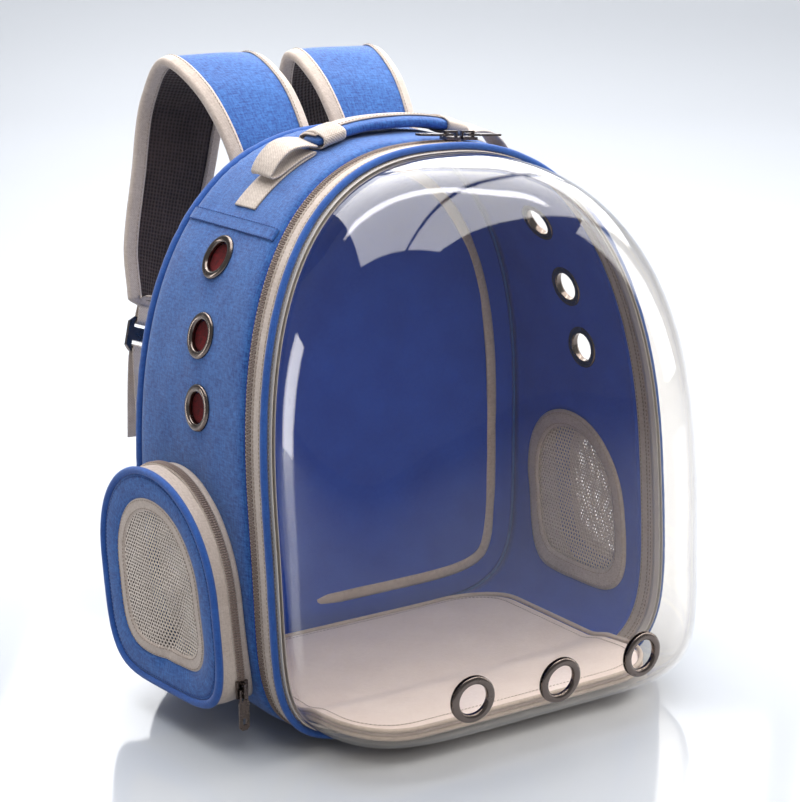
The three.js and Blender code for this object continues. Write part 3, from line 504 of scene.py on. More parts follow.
# Dark nickel mirrors the room in brown-grey; the black plate of the zip parts is darker and satin.
NICKEL = PlatedMetal("dark nickel plate, polished", "746963")
GUNMETAL = PlatedMetal("black nickel plate, satin", "6B605B", 0.25)
# Satin paint gives the faint mirror image under the bag.
SWEEP = PlainFinish("pale studio sweep", "B6B9BE", 0.09, 0.3)


# Mesh helpers


def ripples(points: Array, length: float, seed: int) -> Array:
    """A smooth random field made of a few crossed waves.

    Args:
        points: Places, with the last axis of any size.
        length: The usual distance between crests, in the points' unit.
        seed: Picks one field of many.

    Returns:
        Values between about -1 and 1, one for each place.
    """
    rng = np.random.default_rng(seed)
    ways = rng.normal(size=(7, points.shape[-1]))
    ways /= np.linalg.norm(ways, axis=1, keepdims=True)
    lengths = length * rng.uniform(0.7, 1.6, 7)
    phases = rng.uniform(0, 2 * math.pi, 7)
    return np.sin(points @ (ways / lengths[:, None]).T * 2 * math.pi + phases).mean(axis=-1) * 1.7


def smooth_step(values: Array, low: float, high: float) -> Array:
    """Rise from 0 at low to 1 at high without a corner."""
    share = np.clip((values - low) / (high - low), 0, 1)
    return share * share * (3 - 2 * share)


def unit(vectors: Array) -> Array:
    """Vectors of length one."""
    return vectors / np.maximum(np.linalg.norm(vectors, axis=-1, keepdims=True), 1e-9)


def running_length(points: Array, axis: int) -> Array:
    """Mean length travelled along one axis of a grid of points, from zero."""
    steps = np.linalg.norm(np.diff(points, axis=axis), axis=-1).mean(axis=1 - axis)
    return np.concatenate([[0.0], np.cumsum(steps)])


def distance_along(path: Array) -> Array:
    """Distance travelled from a path's start, at each of its points."""
    return np.concatenate([[0], np.cumsum(np.linalg.norm(np.diff(path, axis=0), axis=1))])


def at_distances(path: Array, travelled: Array, stops: Array) -> Array:
    """Points of a path at given distances from its start."""
    return np.stack([np.interp(stops, travelled, column) for column in path.T], axis=1)


def turned(count: int) -> Array:
    """Even turns of a full circle, without its end."""
    return np.linspace(0, 2 * math.pi, count, endpoint=False)


def link(obj: bpy.types.Object, node: str = "") -> bpy.types.Object:
    """Put a piece in the scene and let it ride on the carrier.

    Args:
        obj: The piece.
        node: The CAD node that it is shown for, if any.

    Returns:
        The same piece.
    """
    bpy.context.scene.collection.objects.link(obj)
    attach(obj, CARRIER)
    if node:
        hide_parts(node)
    LOG.info("%s: %d faces", obj.name, len(obj.data.polygons))
    return obj


def lay_flat(obj: bpy.types.Object, flat: Array) -> None:
    """Give a cloth piece the UV map of a sheet that was cut flat.

    Args:
        obj: The piece.
        flat: Flat coordinates in millimetres, one row for each vertex.
    """
    corners = np.array([loop.vertex_index for loop in obj.data.loops])
    obj.data.uv_layers[CLOTH_MAP].data.foreach_set("uv", flat[corners].astype(np.float32).ravel())


def smooth_faces(mesh: bpy.types.Mesh) -> None:
    """Shade all faces of a mesh smooth."""
    mesh.polygons.foreach_set("use_smooth", np.ones(len(mesh.polygons), dtype=bool))


def mesh_object(
    name: str,
    points: Array,
    faces: Sequence[Sequence[int]],
    finishes: Sequence[Finish],
    uv: Array | None = None,
    slots: Array | None = None,
) -> bpy.types.Object:
    """Make a smooth mesh object from points in millimetres.

    Args:
        name: The object's name.
        points: One row for each vertex.
        faces: Vertex numbers of each face.
        finishes: The finishes used, in slot order.
        uv: One row for each face corner, in millimetres of cloth.
        slots: The slot of each face.

    Returns:
        The object, not yet in the scene.
    """
    mesh = bpy.data.meshes.new(name)
    mesh.from_pydata((points.reshape(-1, 3) * MM).tolist(), [], [list(face) for face in faces])
    if uv is not None:
        mesh.uv_layers.new(name=CLOTH_MAP).data.foreach_set("uv", uv.astype(np.float32).ravel())
    for finish in finishes:
        mesh.materials.append(finish.material())
    if slots is not None:
        mesh.polygons.foreach_set("material_index", np.asarray(slots, dtype=np.int32).ravel())
    smooth_faces(mesh)
    mesh.update()
    return bpy.data.objects.new(name, mesh)


def face_outwards(obj: bpy.types.Object, merge: float = 0.0) -> bpy.types.Object:
    """Join doubled vertices and turn all faces outwards.

    Args:
        obj: A mesh object.
        merge: Vertices nearer than this many millimetres become one.

    Returns:
        The same object.
    """
    mesh = bmesh.new()
    mesh.from_mesh(obj.data)
    if merge:
        bmesh.ops.remove_doubles(mesh, verts=mesh.verts, dist=merge * MM)
    bmesh.ops.recalc_face_normals(mesh, faces=mesh.faces)
    mesh.to_mesh(obj.data)
    mesh.free()
    return obj


def grid_object(
    name: str,
    points: Array,
    finishes: Sequence[Finish],
    closed_u: bool = False,
    closed_v: bool = False,
    capped: bool = False,
    slots: Array | None = None,
) -> bpy.types.Object:
    """Skin a grid of points, with a UV map of its own lengths.

    Args:
        name: The object's name.
        points: Rows by columns by three.
        finishes: The finishes used, in slot order.
        closed_u: The last row joins the first.
        closed_v: The last column joins the first.
        capped: Closed columns get a flat face over the first and last row.
        slots: The slot of each column of faces.

    Returns:
        The object, not yet in the scene.
    """
    rows, columns = points.shape[:2]
    wrapped = points
    if closed_u:
        wrapped = np.concatenate([wrapped, wrapped[:1]], axis=0)
    if closed_v:
        wrapped = np.concatenate([wrapped, wrapped[:, :1]], axis=1)
    along = running_length(wrapped, 0)
    across = running_length(wrapped, 1)
    i, j = np.meshgrid(np.arange(len(along) - 1), np.arange(len(across) - 1), indexing="ij")
    corners = [(i, j), (i + 1, j), (i + 1, j + 1), (i, j + 1)]
    faces = np.stack([(a % rows) * columns + b % columns for a, b in corners], axis=-1).reshape(-1, 4)
    uv = np.stack([np.stack([across[b], along[a]], axis=-1) for a, b in corners], axis=2).reshape(-1, 2)
    face_slots = None if slots is None else np.broadcast_to(slots, i.shape).reshape(-1)
    face_list = faces.tolist()
    if capped:
        ends = [list(range(columns))[::-1], [(rows - 1) * columns + k for k in range(columns)]]
        face_list += ends
        uv = np.concatenate([uv, np.zeros((2 * columns, 2))])
        if face_slots is not None:
            face_slots = np.concatenate([face_slots, [0, 0]])
    obj = mesh_object(name, points, face_list, finishes, uv, face_slots)
    if closed_v:
        face_outwards(obj)
    return obj


def cut(target: bpy.types.Object, cutters: Sequence[bpy.types.Object]) -> bpy.types.Object:
    """Cut solid shapes out of a mesh and delete them.

    Args:
        target: The mesh that is cut.
        cutters: Closed meshes.

    Returns:
        The target.
    """
    scene = bpy.context.scene.collection.objects
    scene.link(target)
    for cutter in cutters:
        scene.link(cutter)
        modifier = target.modifiers.new("cut", "BOOLEAN")
        modifier.object = cutter
        modifier.operation = "DIFFERENCE"
        modifier.solver = "EXACT"
    bpy.context.view_layer.update()
    shown = target.evaluated_get(bpy.context.evaluated_depsgraph_get())
    mesh = bpy.data.meshes.new_from_object(shown)
    target.modifiers.clear()
    target.data = mesh
    smooth_faces(mesh)
    for cutter in cutters:
        bpy.data.objects.remove(cutter)
    scene.unlink(target)
    return target


def prism(points: Array, shift: Array) -> bpy.types.Object:
    """A closed prism between an outline and the same outline shifted."""
    both = np.stack([points, points + shift])
    return grid_object("cutter", both, [NICKEL], closed_v=True, capped=True)


def cylinder(
    centre: Array, direction: Array, radius: float, length: float, sides: int = 48
) -> bpy.types.Object:
    """A closed cylinder centred on a point, as a cutter.

    Args:
        centre: Its middle.
        direction: Its axis, of length one.
        radius: Its radius.
        length: Its full length.
        sides: Flats round it.

    Returns:
        The cutter, not yet in the scene.
    """
    first, second = side_directions(direction)
    turn = turned(sides)[:, None]
    ring = centre - direction * length / 2 + radius * (np.cos(turn) * first + np.sin(turn) * second)
    return prism(ring, direction * length)


def side_directions(direction: Array) -> tuple[Array, Array]:
    """Two directions square to a third and to each other.

    Args:
        direction: The third, of length one.

    Returns:
        A level direction, and one as near to up as it can be.
    """
    first = np.cross([0.0, 0.0, 1.0], direction)
    if np.linalg.norm(first) < 1e-6:
        first = np.array([1.0, 0.0, 0.0])
    first = unit(first)
    return first, np.cross(direction, first)


def capsules(
    name: str,
    centres: Array,
    along: Array,
    up: Array,
    length: float,
    radius: float,
    finish: Finish,
    sides: int = 5,
    arch: float = 0.5,
) -> bpy.types.Object:
    """Many small rounded bars, such as stitches or coil turns, as one mesh.

    Args:
        name: The object's name.
        centres: One place for each bar.
        along: The bars' directions.
        up: Directions away from the cloth.
        length: Length of a bar.
        radius: Its radius.
        finish: Its finish.
        sides: Sides round a bar.
        arch: How far the ends dip, in radii.

    Returns:
        The object, not yet in the scene.
    """
    along = unit(along)
    side = unit(np.cross(up, along))
    lift = np.cross(along, side)
    stations = [
        (-0.5, 0.0, -arch),
        (-0.38, 0.75, -arch * 0.3),
        (0.0, 1.0, 0.35),
        (0.38, 0.75, -arch * 0.3),
        (0.5, 0.0, -arch),
    ]
    turn = turned(sides)
    rings = []
    for place, width, rise in stations:
        spine = centres + along * place * length + lift * rise * radius
        if width == 0.0:
            rings.append(spine[:, None, :])
            continue
        ring = spine[:, None, :] + radius * width * (
            np.cos(turn)[None, :, None] * side[:, None, :] + np.sin(turn)[None, :, None] * lift[:, None, :]
        )
        rings.append(ring)
    points = np.concatenate(rings, axis=1)
    shape = []
    ring_at = [1, 1 + sides, 1 + 2 * sides]
    for k in range(sides):
        n = (k + 1) % sides
        shape.append([0, ring_at[0] + n, ring_at[0] + k])
        for a, b in zip(ring_at, ring_at[1:]):
            shape.append([a + k, a + n, b + n, b + k])
        shape.append([1 + 3 * sides, ring_at[2] + k, ring_at[2] + n])
    size = points.shape[1]
    bases = range(0, len(centres) * size, size)
    faces = [[index + base for index in face] for base in bases for face in shape]
    return mesh_object(name, points, faces, [finish])


def resample(
    path: Array, pitch: float, closed: bool = False, normals: Array | None = None
) -> tuple[Array, Array, Array | None]:
    """Places at an even pitch along a path.

    Args:
        path: Points of the path.
        pitch: Distance between places.
        closed: The path's end joins its start.
        normals: One vector for each point, carried along.

    Returns:
        The places, the directions of travel and the carried vectors.
    """
    if closed:
        path = np.concatenate([path, path[:1]])
        normals = None if normals is None else np.concatenate([normals, normals[:1]])
    travelled = distance_along(path)
    count = max(1, int(travelled[-1] / pitch))
    stops = (np.arange(count) + 0.5) * travelled[-1] / count
    ahead = at_distances(path, travelled, stops + 0.5)
    behind = at_distances(path, travelled, stops - 0.5)
    carried = None if normals is None else unit(at_distances(normals, travelled, stops))
    return at_distances(path, travelled, stops), unit(ahead - behind), carried


def stitch_row(
    name: str, path: Array, normals: Array, finish: Finish, closed: bool = False, pitch: float = 3.2
) -> None:
    """Sew a row of lockstitches along a path, each stitch most of a pitch long and dipping at its ends.

    Args:
        name: The row's name.
        path: Points on the cloth.
        normals: Directions away from the cloth at those points.
        finish: The thread.
        closed: The path's end joins its start.
        pitch: Millimetres from stitch to stitch.
    """
    places, along, up = resample(path, pitch, closed, normals)
    lift = 0.12
    radius = 0.34
    link(capsules(name, places + up * lift, along, up, pitch * 0.78, radius, finish, sides=4, arch=1.2))


def catmull_rom(points: Array, count: int, centripetal: bool = True) -> Array:
    """A smooth curve through points, sampled evenly in the curve's own measure.

    Args:
        points: The points that the curve passes.
        count: Number of samples.
        centripetal: Space the knots by the root of their distance, which keeps tight turns from looping.

    Returns:
        The samples.
    """
    padded = np.concatenate([[2 * points[0] - points[1]], points, [2 * points[-1] - points[-2]]])
    result = []
    for share in np.linspace(0, 1, count):
        place = share * (len(points) - 1)
        k = min(int(place), len(points) - 2)
        w = place - k
        p0, p1, p2, p3 = padded[k : k + 4]
        if centripetal:
            pairs = ((p0, p1), (p1, p2), (p2, p3))
            d0, d1, d2 = (max(float(np.dot(b - a, b - a)) ** 0.25, 1e-6) for a, b in pairs)
            t1 = ((p1 - p0) / d0 - (p2 - p0) / (d0 + d1) + (p2 - p1) / d1) * d1
            t2 = ((p2 - p1) / d1 - (p3 - p1) / (d1 + d2) + (p3 - p2) / d2) * d1
        else:
            t1 = (p2 - p0) / 2
            t2 = (p3 - p1) / 2
        result.append(
            p1 + t1 * w + (-3 * p1 + 3 * p2 - 2 * t1 - t2) * w * w + (2 * p1 - 2 * p2 + t1 + t2) * w * w * w
        )
    return np.array(result)


def ribbon(
    name: str, path: Array, across: Array, width: float, thickness: float, finish: Finish
) -> bpy.types.Object:
    """A flat band with rounded edges along a path.

    Args:
        name: The object's name.
        path: Points along the middle.
        across: Direction of the broad way at each point.
        width: Full width.
        thickness: Full thickness.
        finish: The band's finish.

    Returns:
        The object, not yet in the scene.
    """
    tangent = unit(np.gradient(path, axis=0))
    across = unit(across - tangent * (across * tangent).sum(axis=1, keepdims=True))
    normal = np.cross(tangent, across)
    half = width / 2
    edge = thickness / 2
    flat = np.linspace(-half + edge, half - edge, 9)
    turn = np.radians([60, 0, -60])
    section = [(x, -edge) for x in flat]
    section += [(half - edge + edge * math.cos(a), -edge * math.sin(a)) for a in turn]
    section += [(x, edge) for x in flat[::-1]]
    section += [(-half + edge - edge * math.cos(a), edge * math.sin(a)) for a in turn]
    shape = np.array(section)
    points = path[:, None] + across[:, None] * shape[None, :, :1] + normal[:, None] * shape[None, :, 1:]
    return grid_object(name, points, [finish], closed_v=True, capped=True)


# The shell's form


@dataclass(frozen=True)
class ShellForm:
    """The rounded outline that the shell, its bands and the dome share."""

    half_width: float = 176.5
    lower_height: float = 160.6
    upper_height: float = 249.4
    lower_roundness: float = 6.0
    upper_roundness: float = 2.41
    half_depth: float = 98.25
    top_setback: float = 55.8
    lean_power: float = 2.1
    base_level: float = 4.0

    @property
    def widest(self) -> float:
        """Height at which the shell is widest."""
        return self.base_level + self.lower_height

    def outline(self, count: int) -> tuple[Array, Array]:
        """Even steps round the outline, from the middle of the base towards +X.

        Args:
            count: Number of steps.

        Returns:
            Points and outward normals, each as X and Z.
        """
        angle = np.linspace(0, 2 * math.pi, 3 * FINE_STEPS + 1)
        lower = np.cos(angle) > 0
        power = np.where(lower, self.lower_roundness, self.upper_roundness)
        reach = np.where(lower, self.lower_height, self.upper_height)
        radius = (np.abs(np.sin(angle)) ** power + np.abs(np.cos(angle)) ** power) ** (-1 / power)
        across = self.half_width * radius * np.sin(angle)
        dense = np.stack([across, self.widest - reach * radius * np.cos(angle)], axis=1)
        travelled = distance_along(dense)
        points = at_distances(dense, travelled, np.arange(count) / count * travelled[-1])
        tangent = np.roll(points, -1, axis=0) - np.roll(points, 1, axis=0)
        return points, unit(np.stack([tangent[:, 1], -tangent[:, 0]], axis=1))

    def rim(self, height: Array) -> Array:
        """Y of the front rim at a height."""
        share = np.maximum(0, (height - self.base_level) / (self.lower_height + self.upper_height))
        return -self.half_depth + self.top_setback * share**self.lean_power

    def right_half(self, offset: float) -> Array:
        """The outline's half on the right, from the base to the crown, grown outwards by an offset."""
        points, normals = self.outline(FINE_STEPS)
        return (points + normals * offset)[: FINE_STEPS // 2 + 1]

    def half_width_at(self, height: Array, offset: float) -> Array:
        """Half width of the outline.

        Args:
            height: Where it is measured.
            offset: How far the outline is grown outwards.

        Returns:
            The half width at each height.
        """
        grown = self.right_half(offset)
        return np.interp(height, grown[:, 1], grown[:, 0])

    def crown_at(self, across: Array, offset: float) -> Array:
        """Height of the crown.

        Args:
            across: Distances from the middle.
            offset: How far the outline is grown outwards.

        Returns:
            The height at each distance.
        """
        grown = self.right_half(offset)
        upper = grown[grown[:, 1] > self.widest][::-1]
        return np.interp(np.abs(across), upper[:, 0], upper[:, 1])

    def band(self, count: int, section: Callable[[Array], tuple[Array, Array]]) -> Array:
        """Carry a section round the outline.

        Args:
            count: Steps round the outline.
            section: Takes the rim's Y at each step, as a column, and gives offsets and Ys in columns.

        Returns:
            Steps by section points by three.
        """
        points, normals = self.outline(count)
        offset, y = section(self.rim(points[:, 1])[:, None])
        offset, y = np.broadcast_arrays(offset, y)
        x = points[:, :1] + normals[:, :1] * offset
        z = points[:, 1:] + normals[:, 1:] * offset
        return np.stack([x, y, z], axis=-1)

    def line(self, count: int, offset: float, behind: float) -> tuple[Array, Array]:
        """A closed line round the shell with its outward normals.

        Args:
            count: Steps round the outline.
            offset: Distance outside the outline.
            behind: Distance behind the front rim.

        Returns:
            The points and the normals.
        """
        points, normals = self.outline(count)
        x, z = (points + normals * offset).T
        line = np.stack([x, self.rim(points[:, 1]) + behind, z], axis=1)
        return line, np.stack([normals[:, 0], np.zeros(count), normals[:, 1]], axis=1)


FORM = ShellForm()


@dataclass(frozen=True)
class PocketForm:
    """Outline of a side pocket and of the window behind it, seen from the side."""

    y: float = 13.0
    height: float = 108.0
    half_width: float = 74.0
    half_height: float = 80.0
    shear: float = 0.15
    top_roundness: float = 2.1
    foot_roundness: float = 4.5
    bulge: float = 27.0
    bulge_slope: float = 0.086
    wall_offset: float = 4.0
    seat_gap: float = 0.4

    def outline(self, turn: Array, inset: Array | float) -> tuple[Array, Array, Array]:
        """The outline, drawn in by an inset.

        Args:
            turn: Turns from the front, upwards.
            inset: How far inside the outline.

        Returns:
            Y, Z and the distance across from the middle line, at each turn.
        """
        power = 2 / np.where(np.sin(turn) > 0, self.top_roundness, self.foot_roundness)
        sine, cosine = np.sin(turn), np.cos(turn)
        rise = (self.half_height - inset) * np.sign(sine) * np.abs(sine) ** power
        across = -(self.half_width - inset) * np.sign(cosine) * np.abs(cosine) ** power
        return self.y + across + self.shear * rise, self.height + rise, across

    def turns(self, count: int, start: float = 0.0, end: float = 2 * math.pi) -> Array:
        """Turns that step evenly along the outline.

        Args:
            count: Number of turns.
            start: The first turn.
            end: The last one, left out where it closes the outline.

        Returns:
            The turns.
        """
        closed = math.isclose(end - start, 2 * math.pi)
        dense = np.linspace(start, end, 2000)
        y, z, _ = self.outline(dense, 0.0)
        travelled = np.concatenate([[0], np.cumsum(np.hypot(np.diff(y), np.diff(z)))])
        stops = np.linspace(0, travelled[-1], count, endpoint=not closed)
        return np.interp(stops, travelled, dense)

    def point(
        self, side: Side, turn: Array, inset: Array | float, lift: Array | float, proud: Array | float
    ) -> Array:
        """Points between the shell and the pocket's face.

        Args:
            side: The side of the bag.
            turn: Turns round the outline.
            inset: How far inside the outline.
            lift: Shares of the way from the shell, at 0, to the face, at 1.
            proud: Distance further outwards.

        Returns:
            The points.
        """
        y, z, across = self.outline(turn, inset)
        seat = FORM.half_width_at(z, self.wall_offset) + self.seat_gap
        top = self.face_middle() + self.bulge_slope * across
        x = side.value * (seat + (top - seat) * lift + proud)
        return np.stack(np.broadcast_arrays(x, y, z), axis=-1)

    def face_middle(self) -> float:
        """Distance of the face's middle from the middle of the bag."""
        return float(FORM.half_width_at(np.array(self.height), self.wall_offset)) + self.bulge

    def on_wall(self, side: Side, turn: Array, inset: Array | float, offset: float) -> Array:
        """A point of the shell's wall inside the outline."""
        y, z, _ = self.outline(turn, inset)
        return np.stack(np.broadcast_arrays(side.value * FORM.half_width_at(z, offset), y, z), axis=-1)

    def inside(self, y: Array, z: Array, inset: float) -> Array:
        """How far inside the outline places are.

        Args:
            y: Their Y.
            z: Their Z.
            inset: How far inside the outline the zero lies.

        Returns:
            From 1 in the middle to 0 at the inset outline, and below 0 outside.
        """
        rise = z - self.height
        across = y - self.y - self.shear * rise
        power = np.where(rise > 0, self.top_roundness, self.foot_roundness)
        a = np.abs(rise) / (self.half_height - inset)
        b = np.abs(across) / (self.half_width - inset)
        return 1 - (a**power + b**power) ** (1 / power)


POCKET = PocketForm()


def slump(y: Array, z: Array, deep: float) -> Array:
    """How far a pocket's slack face falls in, most of all low at the front, in a hollow and a fold.

    Args:
        y: Places' Y.
        z: Places' Z.
        deep: Depth of the hollow.

    Returns:
        The depth at each place.
    """
    hollow = np.exp(-(((y + 14) / 26) ** 2) - ((z - 62) / 34) ** 2)
    fold = np.exp(-(((y - 2 + 0.5 * (z - 60)) / 7) ** 2) - ((z - 66) / 36) ** 2)
    return deep * (hollow + 0.45 * fold)


@dataclass(frozen=True)
class EyeletSeat:
    """Where an eyelet sits: the middle of the sheet and its outward normal."""

    name: str
    point: Array
    normal: Array
    sheet: float

    def spokes(self, count: int) -> Array:
        """Directions from the eyelet's middle to its edge.

        Args:
            count: Number of directions.

        Returns:
            One direction a row.
        """
        first, second = side_directions(self.normal)
        turn = turned(count)[:, None]
        return np.cos(turn) * first + np.sin(turn) * second


# Dome


@dataclass
class Dome:
    """The clear front, with its welded rim and three eyelets."""

    inset: float = 4.0
    sheet: float = 1.4
    centre_height: float = 100.0
    foot_depth: float = 104.9
    lean_depth: float = -70.4
    crown_depth: float = 150.0
    low_roundness: float = 4.1
    top_roundness: float = 1.5
    side_roundness: float = 2.79
    hub_softness: float = 0.1
    lip: float = 4.0
    count: int = 200
    ring_count: int = 34
    welt: float = 5.0
    welt_gap: float = 0.35
    welt_thickness: float = 0.56
    welt_lap: float = 3.0
    eyelet_hole: float = 12.2
    hole_depth: float = 30.0
    eyelet_reach: float = 13.0
    eyelets: tuple = (("left", -75.5, 55.8), ("middle", 0.0, 53.1), ("right", 75.5, 55.8))

    def surface(self, ring: Array, inset: float = 0.0, count: int | None = None) -> Array:
        """Points of the dome, by station round the rim and by ring.

        Args:
            ring: Shares of the way from the middle (0) to the rim (1).
            inset: Distance inside the outer face.
            count: Stations round the rim.

        Returns:
            Stations by rings by three.
        """
        points, normals = FORM.outline(count or self.count)
        edge = points - normals * (self.inset + inset)
        ring = ring[None, :]
        x = edge[:, :1] * ring
        z = self.centre_height + (edge[:, 1:] - self.centre_height) * ring
        upward = np.maximum(0, (edge[:, 1:] - FORM.widest) / FORM.upper_height)
        power = self.low_roundness + (self.top_roundness - self.low_roundness) * upward
        soft = self.hub_softness
        flat = soft**power
        rounded = ((ring**2 + soft**2) ** (power / 2) - flat) / ((1 + soft**2) ** (power / 2) - flat)
        swell = np.maximum(0, 1 - rounded) ** (1 / self.side_roundness)
        share = (z - FORM.base_level) / (FORM.lower_height + FORM.upper_height)
        bulge = self.foot_depth + self.lean_depth * share + self.crown_depth * share**2
        return np.stack([x, FORM.rim(z) - (bulge - inset) * swell, z], axis=-1)

    def rings(self) -> Array:
        """Rings that crowd towards the rim, where the dome turns fastest."""
        return 1 - np.linspace(0, 1, self.ring_count) ** 2

    def shell(self) -> bpy.types.Object:
        """The closed sheet, outer and inner face joined by its lip.

        Returns:
            The sheet, not yet in the scene.
        """
        outer = self.surface(self.rings())
        inner = self.surface(self.rings(), self.sheet)
        stations, rows = outer.shape[:2]
        lips = [outer[:, :1] + [0, self.lip, 0], inner[:, :1] + [0, self.lip, 0]]
        points = np.concatenate([lips[0], outer, lips[1], inner], axis=1)
        width = points.shape[1]
        faces = []
        for i in range(stations):
            here, there = i * width, ((i + 1) % stations) * width
            for j in range(rows):
                faces.append([here + j, there + j, there + j + 1, here + j + 1])
                k = rows + 1 + j
                faces.append([here + k, here + k + 1, there + k + 1, there + k])
            faces.append([here, here + rows + 1, there + rows + 1, there])
        return face_outwards(mesh_object("dome_clear_sheet", points, faces, [CLEAR]), merge=0.002)

    def seat(self, name: str, x: float, z: float) -> EyeletSeat:
        """The place and normal of an eyelet on the dome.

        Args:
            name: The eyelet's word in the node's name.
            x: Its place across.
            z: Its height.

        Returns:
            The eyelet's seat.
        """
        points = self.surface(np.linspace(0.3, 1, 500), count=720).reshape(-1, 3)

        def depth(px: float, pz: float) -> float:
            """Y of the dome's point nearest to an X and Z."""
            near = np.argmin((points[:, 0] - px) ** 2 + (points[:, 2] - pz) ** 2)
            return float(points[near, 1])

        reach = self.eyelet_reach
        across = depth(x + reach, z) - depth(x - reach, z)
        upward = depth(x, z + reach) - depth(x, z - reach)
        normal = unit(np.array([across, -2 * reach, upward]))
        point = np.array([x, depth(x, z), z]) - normal * self.sheet / 2
        return EyeletSeat(f"dome_eyelet_{name}", point, normal, self.sheet)

    def build(self) -> list[EyeletSeat]:
        """Build the sheet, its rim and its stitching.

        Returns:
            The seats of the three eyelets.
        """
        seats = [self.seat(*eyelet) for eyelet in self.eyelets]
        cutters = [cylinder(seat.point, seat.normal, self.eyelet_hole, self.hole_depth) for seat in seats]
        link(cut(self.shell(), cutters), "clear_dome")
        self.build_rim()
        return seats

    def along_sheet(self, distances: Array, inset: float) -> Array:
        """Points of the dome at distances from the rim, measured along the sheet.

        Args:
            distances: The distances.
            inset: Distance inside the outer face.

        Returns:
            Stations round the rim by distances by three.
        """
        dense = self.surface(1 - np.linspace(0, 1, 900) ** 3 * 0.3, inset)
        steps = np.linalg.norm(np.diff(dense, axis=1), axis=-1)
        travelled = np.concatenate([np.zeros((len(dense), 1)), np.cumsum(steps, axis=1)], axis=1)
        return np.array([at_distances(path, run, distances) for path, run in zip(dense, travelled)])

    def build_rim(self) -> None:
        """The frosted welt along the rim, outside and inside, with its stitches."""
        for name, inset, way in (("outside", 0.0, 1), ("inside", self.sheet, -1)):
            face = self.along_sheet(np.linspace(0, self.welt, 6), inset)
            face = np.concatenate([face[:, :1] + [0, self.welt_lap, 0], face], axis=1)
            slope = unit(face[:, -1] - face[:, 0])
            around = unit(np.roll(face[:, 0], -1, axis=0) - np.roll(face[:, 0], 1, axis=0))
            out = unit(np.cross(slope, around))
            from_middle = (out * (face[:, 0] - [0, 0, self.centre_height])).sum(axis=1, keepdims=True)
            out *= np.sign(from_middle) * way
            top = self.welt_gap + self.welt_thickness
            both = [face + out[:, None] * self.welt_gap, (face + out[:, None] * top)[:, ::-1]]
            welt = grid_object(f"dome_welt_{name}", np.hstack(both), [WELT], closed_u=True, closed_v=True)
            link(welt)
            if name == "outside":
                middle = (face[:, 2] + face[:, 3]) / 2 + out * (top + 0.07)
                stitch_row("dome_welt_stitches", middle, out, BEIGE_THREAD, closed=True, pitch=3.0)


# Eyelets


@dataclass
class Eyelets:
    """Pressed metal eyelets with rolled flanges, and the red gauze behind those on the left side."""

    bore: float = 11.4
    flange: float = 17.2
    barrel: float = 12.1
    roll: float = 2.3
    back_roll: float = 1.5
    gap: float = 0.15
    shoulder: float = 0.5
    gauze: float = 0.35
    gauze_dish: float = 0.8
    segments: int = 56

    def profile(self, sheet: float) -> Array:
        """The eyelet's section, closed.

        Args:
            sheet: Thickness of what the eyelet clamps.

        Returns:
            Radius and height at each point.
        """
        half = sheet / 2 + self.gap
        turn = np.linspace(0, math.pi, 11)
        middle = (self.bore + self.flange) / 2
        reach = (self.flange - self.bore) / 2
        front = [(middle - reach * math.cos(a), half + self.roll * math.sin(a) ** 0.8) for a in turn]
        back = [(middle + reach * math.cos(a), -half - self.back_roll * math.sin(a) ** 0.8) for a in turn]
        edge = self.flange - self.shoulder
        inner_front = [(edge, half), (self.barrel, half)]
        inner_back = [(self.barrel, -half), (edge, -half)]
        return np.array(front + inner_front + inner_back + back)

    def add(self, seat: EyeletSeat) -> None:
        """Put one eyelet on its seat.

        Args:
            seat: Its seat.
        """
        profile = self.profile(seat.sheet)
        spokes = seat.spokes(self.segments)
        points = seat.point + spokes[:, None] * profile[None, :, :1] + seat.normal * profile[None, :, 1:]
        metal = grid_object(f"{seat.name}_metal", points, [NICKEL], closed_u=True, closed_v=True)
        link(metal, seat.name)

    def add_gauze(self, seat: EyeletSeat, node: str) -> None:
        """Stretch a disc of gauze behind an eyelet, slightly dished.

        Args:
            seat: The eyelet's seat.
            node: The gauze's CAD node.
        """
        radius = np.linspace(0.05, self.bore - self.gap, 10)
        dish = self.gauze_dish * (radius / self.bore) ** 2 - self.gauze_dish - 0.1
        spokes = seat.spokes(40)
        top = seat.point + spokes[:, None] * radius[None, :, None] + seat.normal * dish[None, :, None]
        both = np.concatenate([top, (top - seat.normal * self.gauze)[:, ::-1]], axis=1)
        disc = grid_object(f"{node}_cloth", both, [GAUZE], closed_u=True, closed_v=True)
        lay_flat(disc, (both.reshape(-1, 3) - seat.point) @ np.stack(side_directions(seat.normal), axis=1))
        link(disc, node)


# Shell


